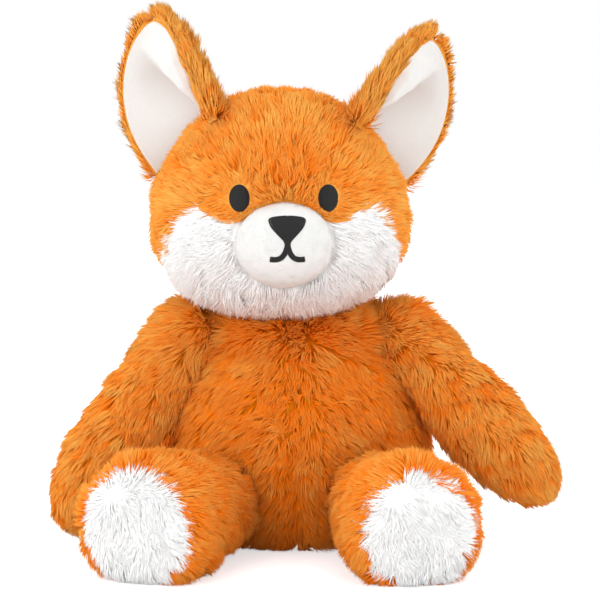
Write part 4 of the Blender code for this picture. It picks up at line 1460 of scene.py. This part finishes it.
def satin_into(bm, tree, line, width, pitch, radius):
    """Stitches side by side across a line."""
    spaced = smooth_line(line, pitch)
    for before, at, after in zip([spaced[0], *spaced], spaced, [*spaced[1:], spaced[-1]]):
        way = (after - before).normalized()
        across = Vector((way.z, 0, -way.x)) * (width / 2 - radius)
        stitch_into(bm, tree, at - across, at + across, radius, 0.3 * MM)


def cord_into(bm, tree, line, radius):
    spine = [on_surface(tree, at, radius * 0.6) for at in smooth_line(line, 1.0 * MM)]
    tube_into(bm, spine, radius, 8)


def make_eyes(sizes, looks):
    """The eyes in level satin stitches inside a fine cord."""
    tree = tree_of(COVERS["head"])
    pitch, radius = sizes.thread * STITCH_PITCH_SHARE, sizes.thread / 2
    for side, sign in SIDES.items():
        bm = bmesh.new()
        middle = HEAD_MIDDLE + Vector((sign * EYE_ASIDE, 0, EYE_RISE))
        for row in range(1, int(EYE_HEIGHT / pitch)):
            rise = EYE_HEIGHT / 2 - row * pitch
            half = EYE_WIDTH / 2 * math.sqrt(max(1 - (2 * rise / EYE_HEIGHT) ** 2, 0)) + radius / 2
            level_stitch(bm, tree, middle, half, rise, radius, 0.9 * MM)
        ring = [
            middle + Vector((math.cos(turn) * EYE_WIDTH / 2, 0, math.sin(turn) * EYE_HEIGHT / 2))
            for turn in (math.tau * step / 24 for step in range(25))
        ]
        cord_into(bm, tree, ring, radius * 1.2)
        embroidery(f"eye_{side}", bm, looks)


# Ears


def ear_half_width(up, share):
    low = -EAR_ROOT / EAR_LENGTH
    power, rounding = EAR_BLUNT_SHARES
    taper = (1 - min(max(up, 0) / share, 0.995) ** power) ** rounding
    return EAR_WIDTH / 2 * share * taper * swell(EAR_WIDTH_SHARES, (up - low) / (share - low))


def ear_sheet(side, share, forward, drawn=lambda y: 0):
    """The cupped leaf of an ear. forward is called with how far across, -1 to 1, and how far up, 0 to 1,
    a point is, and moves it into the ear's hollow. drawn takes how far up, and draws in the edge next to
    the crown of the head. The mesh keeps, as its depth attribute, how much painted shade each point gets."""
    low = -EAR_ROOT / EAR_LENGTH
    bm = bmesh.new()
    painted_shade_layer = bm.verts.layers.float.new("depth")
    bmesh.ops.create_grid(bm, x_segments=60, y_segments=72, size=1)
    steps = []
    for vertex in bm.verts:
        across, y = SIDES[side] * vertex.co.x, (vertex.co.y + 1) / 2
        x = SIDES[side] * (1 - (1 - across) * (1 - drawn(y) / 2))
        up = low + (share - low) * y
        cup = swell(EAR_CUP_SHARES, (up - low) / (1 - low))
        radius = ear_half_width(up, 1) / cup
        turn = x * ear_half_width(up, share) / radius
        lean = EAR_LEAN * max(up, 0) ** 2
        vertex.co = Vector((radius * math.sin(turn), lean - radius * (1 - math.cos(turn)), EAR_LENGTH * up))
        # Painted shade of the hollow, kept in the depth attribute.
        vertex[painted_shade_layer] = painted_hollow_shade(across, y)
        steps.append(forward(across, y))
    bmesh.ops.recalc_face_normals(bm, faces=bm.faces)
    if sum(face.normal.y * face.calc_area() for face in bm.faces) < 0:
        bmesh.ops.reverse_faces(bm, faces=bm.faces)
    bm.normal_update()
    moved = [vertex.co - vertex.normal * step for vertex, step in zip(bm.verts, steps)]
    place = ear_place(side)
    for vertex, to in zip(bm.verts, moved):
        vertex.co = place @ to
    return finished_mesh(bm, "ear_sheet")


def lining_drawn(y):
    """How far the lining's edge next to the crown is drawn in, where fur folds over it at the root."""
    return min(0.42, max(0.98 - y, 0) * 1.7) + 0.36 * min(max((0.66 - y) / 0.3, 0), 1.3) ** 1.3


def roll_width(y):
    """How wide the soft roll beside a lining's near edge is. It starts half way up and fills the tip."""
    return 3.5 * max(y - 0.49, 0) + 5 * max(y - 0.88, 0)


def painted_hollow_shade(x, y):
    """How much painted shade a point of the ear's lining gets: 0 on the roll, 1 just past the crease beside
    it, and less again towards the far edge and the root. x is -1 at the edge next to the crown of the head."""
    past = 1 + x - roll_width(y)
    crease = clipped(past / 0.08) * clipped((0.96 - y) / 0.2)
    return crease * clipped(1 - past / 1.3) ** 1.4 * min((1 - x) / 0.5, 1) * min(0.35 + y, 1)


def rolled(x, y):
    """How far an ear's lining swells out of the hollow: a soft roll whose far side drops into a crease,
    and blends into the hollow near the tip."""
    width = roll_width(y)
    if not width:
        return 0
    share = min((1 + x) / width, 1)
    drop = 0.14 + 0.5 * clipped((width - 0.8) / 0.6)
    body = min(share / 0.3, 1) * (2 - min(share / 0.3, 1)) * math.sqrt(min((1 - share) / drop, 1))
    return ROLL_RISE * body * min(width / 0.4, max((1.6 - width) / 0.7, 0), (1 - x) / 0.3, 1)


def make_ears(sizes, looks):
    """The furry backs of the ears and their smooth linings, cut clear of the head as they bend."""
    for side, sign in SIDES.items():
        cutter = host_cutter("head", f"ear_bend_{side}", 0, 3)
        make_ear_back(side, sign, cutter, sizes, looks)
        lining = ear_sheet(side, LINING_SHARE, lambda x, y: LINING_LIFT + rolled(x, y), lining_drawn)
        lining = joined([thickened(lining, LINING_THICKNESS, 1), cutter], "DIFFERENCE")
        name = f"ear_lining_{side}"
        obj = finished_piece(f"{name}_cover", lining, looks["ear_velour"])
        belong(obj, f"ear_{side}", [name])


def make_ear_back(side, sign, cutter, sizes, looks):
    """An ear's thick back, with pile on its outside and round the rim of its hollow."""
    place = ear_place(side)
    name, body = f"ear_back_{side}", f"ear_{side}"
    back = thickened(ear_sheet(side, 1, lambda x, y: 0), EAR_THICKNESS, 1)
    skin = carved(back, cutter)
    obj = finished_piece(f"{name}_cover", joined([back, cutter], "DIFFERENCE"), looks["pale_ground"])
    belong(obj, body, [name])

    def inward(points):
        """How far towards the crown of the head a point is: 1 at the ear's near edge, -1 at its far one."""
        return np.clip(-sign * local_rows(points, place)[:, 0] / (EAR_WIDTH * 0.4), -1, 1)

    def length(points):
        low = np.clip(1 - local_rows(points, place)[:, 2] / (EAR_LENGTH * 0.8), 0, 1)
        return sizes.ear_pile * (1.1 + 0.25 * inward(points) + 0.45 * low)

    def flow(points, normals):
        """Up the ear, and out over its rim."""
        out = np.tanh(local_rows(points, place)[:, 0] / (18 * MM))
        ways = np.stack([0.6 * out, 0.05 - 0.15 * out * out, 1 - 1.5 * near_head(points)], 1)
        return world_ways(ways, place)

    def lift(points):
        """Flat in the hollow, and up from the head at the root."""
        hollow = ear_spots(points, place, sign)[0] < LINING_LIFT
        return np.where(hollow, -24, 10 * inward(points) + 24 * near_head(points))

    # Paler pile all over the ear's back, with painted shade where the ear meets the head.
    coat = coat_of(
        sizes, flow, length, seed=71 + sign, lifts=(34, 14), more_lift=lift,
        bare=lambda points: under_lining(points, place, sign),
        shade=lambda points: 0.36 - 0.45 * near_head(points),
    )
    grow_pile(f"{name}_pile", skin, body, looks["orange_fur"], coat, ["head"])


def near_head(points):
    """How close points are to the head: 1 on it, 0 from a few millimetres off."""
    tree = NEIGHBOURS["head"][2]
    return np.array([max(1 - tree.find_nearest(point)[3] / (9 * MM), 0) for point in points])


def ear_spots(points, place, sign):
    """Where points of an ear's back are: how far behind its hollow face, how far across it from -1 next to
    the crown of the head to 1, and how far up the leaf from 0 to 1."""
    low = -EAR_ROOT / EAR_LENGTH
    spots = []
    for x, y, z in local_rows(points, place):
        up = min(max(z / EAR_LENGTH, low), 0.995)
        half = ear_half_width(up, 1)
        radius = half / swell(EAR_CUP_SHARES, (up - low) / (1 - low))
        middle = EAR_LEAN * max(up, 0) ** 2 - radius
        across = sign * math.atan2(x, y - middle) * radius / half
        spots.append((math.hypot(x, y - middle) - radius, across, (up - low) / (1 - low)))
    return np.array(spots).T


def under_lining(points, place, sign):
    """Which points of an ear's back lie under its lining, or in the strip beside it that stays bare."""
    behind, across, up = ear_spots(points, place, sign)
    near = np.array([lining_drawn(y) for y in up])
    near = np.where(near > 0.05, near + 0.03, -0.1)
    return (behind < LINING_LIFT) & (across > near - 1) & (up < 0.995)


# Limbs and tail


def seam_across(place, extra=None):
    """Distance to the seam in a limb's own XZ plane, and to the one across it at extra."""
    back = place.inverted()

    def distance(at):
        spot = back @ at
        near = abs(spot.y)
        return min(near, abs(spot.z - extra)) if extra else near

    return distance


def limb_halves(place, way, halves):
    """The two halves of a limb, each with the side of its seam to keep. The first one faces that way."""
    first = -1 if (place.to_3x3().inverted() @ Vector(way)).y > 0 else 1
    return zip(halves, (plane("y", 0, first), plane("y", 0, -first)))


def make_arms(sizes, looks):
    """Two panels for each arm, with a pile that falls off the shoulder and along to the paw."""

    def length(points):
        return sizes.body_pile * (1 + 0.5 * at_shoulder(points))

    for side, sign in SIDES.items():
        body, place = f"arm_{side}", FORMS[f"arm_{side}"][1]
        cover = drawn_in(COVERS[body].copy(), seam_across(place), sizes.seam_depth * 0.5)
        skin = carved(cover, host_cutter("torso", f"arm_lift_{side}", ARM_ROOT, 4))
        clear = ["torso", "head", f"leg_{side}"]
        for half, keep in limb_halves(place, (0, -1, 0), ("front", "back")):
            cut = panel_skin(skin, place, [keep])
            coat = coat_of(
                sizes, arm_flow(place, sign), length, seed=83 + sign + 5 * (half == "back"), lifts=(36, 16),
                more_lift=lambda points: 40 * at_shoulder(points),
            )
            inner = [f"arm_stuffing_{side}"] if half == "front" else []
            name = f"arm_{half}_{side}"
            fur_panel((sizes, looks), name, cut, body, coat, clear, inner)


def make_legs(sizes, looks):
    """Top and bottom panels for each leg, and its white sole."""
    seam = LEG_REACH - SOLE_DEPTH
    for side, sign in SIDES.items():
        body, place = f"leg_{side}", FORMS[f"leg_{side}"][1]
        cover = drawn_in(COVERS[body].copy(), seam_across(place, seam), sizes.seam_depth * 0.5)
        skin = carved(cover, host_cutter("torso", f"leg_lift_{side}", LEG_ROOT, 4))
        clear = ["torso", f"arm_{side}", "leg_right" if side == "left" else "leg_left"]
        for half, keep in limb_halves(place, (0, 0, 1), ("top", "bottom")):
            cut = panel_skin(skin, place, [keep, plane("z", seam, 1)])
            coat = coat_of(
                sizes, foot_flow(place), sizes.body_pile, seed=97 + sign + 5 * (half == "top"),
                lifts=(36, 16), shade=lambda points: -0.15,
            )
            inner = [f"leg_stuffing_{side}"] if half == "top" else []
            name = f"leg_{half}_{side}"
            fur_panel((sizes, looks), name, cut, body, coat, clear, inner)
        sole = panel_skin(skin, place, [plane("z", seam, -1)])
        coat = sole_coat(sizes, place, 103 + sign)
        fur_panel((sizes, looks), f"sole_{side}", sole, body, coat, clear, (), WHITE)


def sole_coat(sizes, place, seed):
    """The sole's pile: short in its middle, and longer and flatter towards its rim."""

    def length(points):
        return sizes.body_pile * (0.65 + 0.35 * sole_reach(points, place) ** 3)

    return coat_of(
        sizes, sole_flow(place), length, seed=seed, lifts=(34, 14), stray=22, tuft=6 * MM,
        more_lift=lambda points: -16 * sole_reach(points, place) ** 3, wisp_pull=0.12,
        spacing=sizes.pile_spacing * 0.75, radius=sizes.lock_radius * 0.9,
    )


def make_tail(sizes, looks):
    """The tail's two side panels and its white tip."""
    place = FORMS["tail"][1]
    seam = TAIL_REACH * TAIL_TIP_SHARE
    skin = carved(COVERS["tail"], host_cutter("torso", "tail_wag", TAIL_ROOT, 5))
    flow = along_flow(place, fall=0.1)
    length = sizes.body_pile * 1.1
    for side, sign in SIDES.items():
        across = (place.to_3x3() @ Vector((1, 0, 0))).x * sign
        cut = panel_skin(skin, place, [plane("x", 0, -1 if across > 0 else 1), plane("z", seam, 1)])
        coat = coat_of(sizes, flow, length, seed=113 + sign)
        inner = ["tail_stuffing"] if side == "left" else []
        fur_panel((sizes, looks), f"tail_{side}", cut, "tail", coat, ["torso"], inner)
    tip = panel_skin(skin, place, [plane("z", seam, -1)])
    coat = coat_of(
        sizes, flow, length, seed=119, lifts=(34, 14), wisp_pull=0.2,
        spacing=sizes.pile_spacing * 0.8, radius=sizes.lock_radius * 0.95,
    )
    fur_panel((sizes, looks), "tail_tip", tip, "tail", coat, (), (), WHITE)


# Studio


def straight_rays(tree):
    """1 for rays that come from the camera or off a gloss, and 0 for all others."""
    rays = tree.nodes.new("ShaderNodeLightPath")
    seen = tree.nodes.new("ShaderNodeMath")
    seen.operation = "MAXIMUM"
    tree.links.new(rays.outputs["Is Camera Ray"], seen.inputs[0])
    tree.links.new(rays.outputs["Is Glossy Ray"], seen.inputs[1])
    return seen.outputs[0]


def studio_floor(colours):
    """A plain floor that camera rays see as white wherever no shadow falls."""
    bm = bmesh.new()
    bmesh.ops.create_grid(bm, x_segments=1, y_segments=1, size=4)
    made, tree, shader = blank_material("studio_floor", 0.9, specular=0.1)
    put(shader, {"Base Color": solid(colours.floor), "Emission Color": (1, 1, 1, 1)})
    strength = tree.nodes.new("ShaderNodeMath")
    strength.operation = "MULTIPLY"
    strength.inputs[1].default_value = FLOOR_GLOW
    tree.links.new(straight_rays(tree), strength.inputs[0])
    tree.links.new(strength.outputs[0], shader.inputs["Emission Strength"])
    mesh = finished_mesh(bm, "studio_floor")
    mesh.materials.append(made)
    helper("studio_floor", mesh)


def studio_world():
    """Even light from all round, and plain white where the camera looks past the floor."""
    world = bpy.data.worlds.new("studio")
    bpy.context.scene.world = world
    world.use_nodes = True
    tree = world.node_tree
    tree.nodes.clear()
    mix = tree.nodes.new("ShaderNodeMixShader")
    tree.links.new(straight_rays(tree), mix.inputs[0])
    for count, strength in ((1, ROOM_LIGHT), (2, 1)):
        light = tree.nodes.new("ShaderNodeBackground")
        put(light, {"Color": (1, 1, 1, 1), "Strength": strength})
        tree.links.new(light.outputs[0], mix.inputs[count])
    out = tree.nodes.new("ShaderNodeOutputWorld")
    tree.links.new(mix.outputs[0], out.inputs["Surface"])


def studio_lamp(name, at, watts):
    lamp = bpy.data.lights.new(name, "AREA")
    lamp.shape = "DISK"
    lamp.size = LAMP_SIZE
    lamp.energy = watts
    obj = helper(name, lamp)
    obj.location = at
    obj.rotation_euler = (LAMP_TARGET - Vector(at)).to_track_quat("-Z", "Y").to_euler()


def studio_camera():
    """The photograph's view: 1.5 m off, 5 degrees up, a little over half a millimetre to a pixel."""
    eye = bpy.data.cameras.new("camera")
    eye.sensor_width = 36
    eye.lens = 163.6
    eye.clip_start, eye.clip_end = 0.05, 50
    camera = helper("camera", eye)
    back = Vector((0, -math.cos(CAMERA_RISE), math.sin(CAMERA_RISE)))
    camera.location = CAMERA_TARGET + back * CAMERA_REACH
    camera.rotation_euler = (-back).to_track_quat("-Z", "Y").to_euler()
    bpy.context.scene.camera = camera


# Operators


class FoxStep(Operator):
    """One step in making the fox"""

    bl_idname = "fox.step"
    bl_label = "Step"
    bl_options = {"INTERNAL"}

    def given(self, context):
        return context.scene.fox_sizes, finishes(context.scene.fox_colours)


class FillCovers(FoxStep):
    """Blow up the sewn covers with stuffing by cloth simulation"""

    bl_idname = "fox.fill_covers"
    bl_label = "Fill covers"

    def execute(self, context):
        fill_covers()
        return {"FINISHED"}


class MakeTorso(FoxStep):
    """Sew the torso's panels and grow their pile"""

    bl_idname = "fox.make_torso"
    bl_label = "Torso"

    def execute(self, context):
        make_torso(*self.given(context))
        return {"FINISHED"}


class MakeHead(FoxStep):
    """Sew the head's panels and grow their pile"""

    bl_idname = "fox.make_head"
    bl_label = "Head"

    def execute(self, context):
        make_head(*self.given(context))
        return {"FINISHED"}


class MakeMuzzle(FoxStep):
    """Make the smooth muzzle with its embroidered nose and mouth"""

    bl_idname = "fox.make_muzzle"
    bl_label = "Muzzle"

    def execute(self, context):
        make_muzzle(*self.given(context))
        make_nose(*self.given(context))
        return {"FINISHED"}


class MakeEyes(FoxStep):
    """Embroider the eyes"""

    bl_idname = "fox.make_eyes"
    bl_label = "Eyes"

    def execute(self, context):
        make_eyes(*self.given(context))
        return {"FINISHED"}


class MakeEars(FoxStep):
    """Make the ears' furry backs and smooth linings"""

    bl_idname = "fox.make_ears"
    bl_label = "Ears"

    def execute(self, context):
        make_ears(*self.given(context))
        return {"FINISHED"}


class MakeArms(FoxStep):
    """Sew the arms and grow their pile"""

    bl_idname = "fox.make_arms"
    bl_label = "Arms"

    def execute(self, context):
        make_arms(*self.given(context))
        return {"FINISHED"}


class MakeLegs(FoxStep):
    """Sew the legs with their white soles and grow their pile"""

    bl_idname = "fox.make_legs"
    bl_label = "Legs"

    def execute(self, context):
        make_legs(*self.given(context))
        return {"FINISHED"}


class MakeTail(FoxStep):
    """Sew the tail with its white tip and grow its pile"""

    bl_idname = "fox.make_tail"
    bl_label = "Tail"

    def execute(self, context):
        make_tail(*self.given(context))
        return {"FINISHED"}


class MakeStudio(FoxStep):
    """Lay the floor, hang the lamps and place the camera"""

    bl_idname = "fox.make_studio"
    bl_label = "Studio"

    def execute(self, context):
        studio_floor(context.scene.fox_colours)
        studio_world()
        for name, at, watts in LAMPS:
            studio_lamp(name, at, watts)
        studio_camera()
        context.scene.view_settings.view_transform = "Standard"
        return {"FINISHED"}


STEPS = (
    FillCovers, MakeTorso, MakeHead, MakeMuzzle, MakeEyes, MakeEars, MakeArms, MakeLegs, MakeTail, MakeStudio
)


class FoxPanel(Panel):
    """Sizes, colours and steps of the plush fox"""

    bl_idname = "VIEW3D_PT_plush_fox"
    bl_label = "Plush fox"
    bl_space_type = "VIEW_3D"
    bl_region_type = "UI"
    bl_category = "Fox"

    def draw(self, context):
        for group in (context.scene.fox_sizes, context.scene.fox_colours):
            box = self.layout.box()
            for name in group.__annotations__:
                box.prop(group, name)
        column = self.layout.column(align=True)
        for step in STEPS:
            column.operator(step.bl_idname)


CLASSES = (FoxSizes, FoxColours, *STEPS, FoxPanel)


def register():
    for cls in CLASSES:
        bpy.utils.register_class(cls)
    bpy.types.Scene.fox_sizes = PointerProperty(type=FoxSizes)
    bpy.types.Scene.fox_colours = PointerProperty(type=FoxColours)


def unregister():
    del bpy.types.Scene.fox_sizes
    del bpy.types.Scene.fox_colours
    for cls in reversed(CLASSES):
        bpy.utils.unregister_class(cls)


def main():
    for name in ("Cube", "Light", "Camera"):
        if name in bpy.data.objects and name not in frame["nodes"]:
            bpy.data.objects.remove(bpy.data.objects[name])
    register()
    for step in STEPS:
        family, action = step.bl_idname.split(".")
        getattr(getattr(bpy.ops, family), action)()


if __name__ == "__main__":
    main()
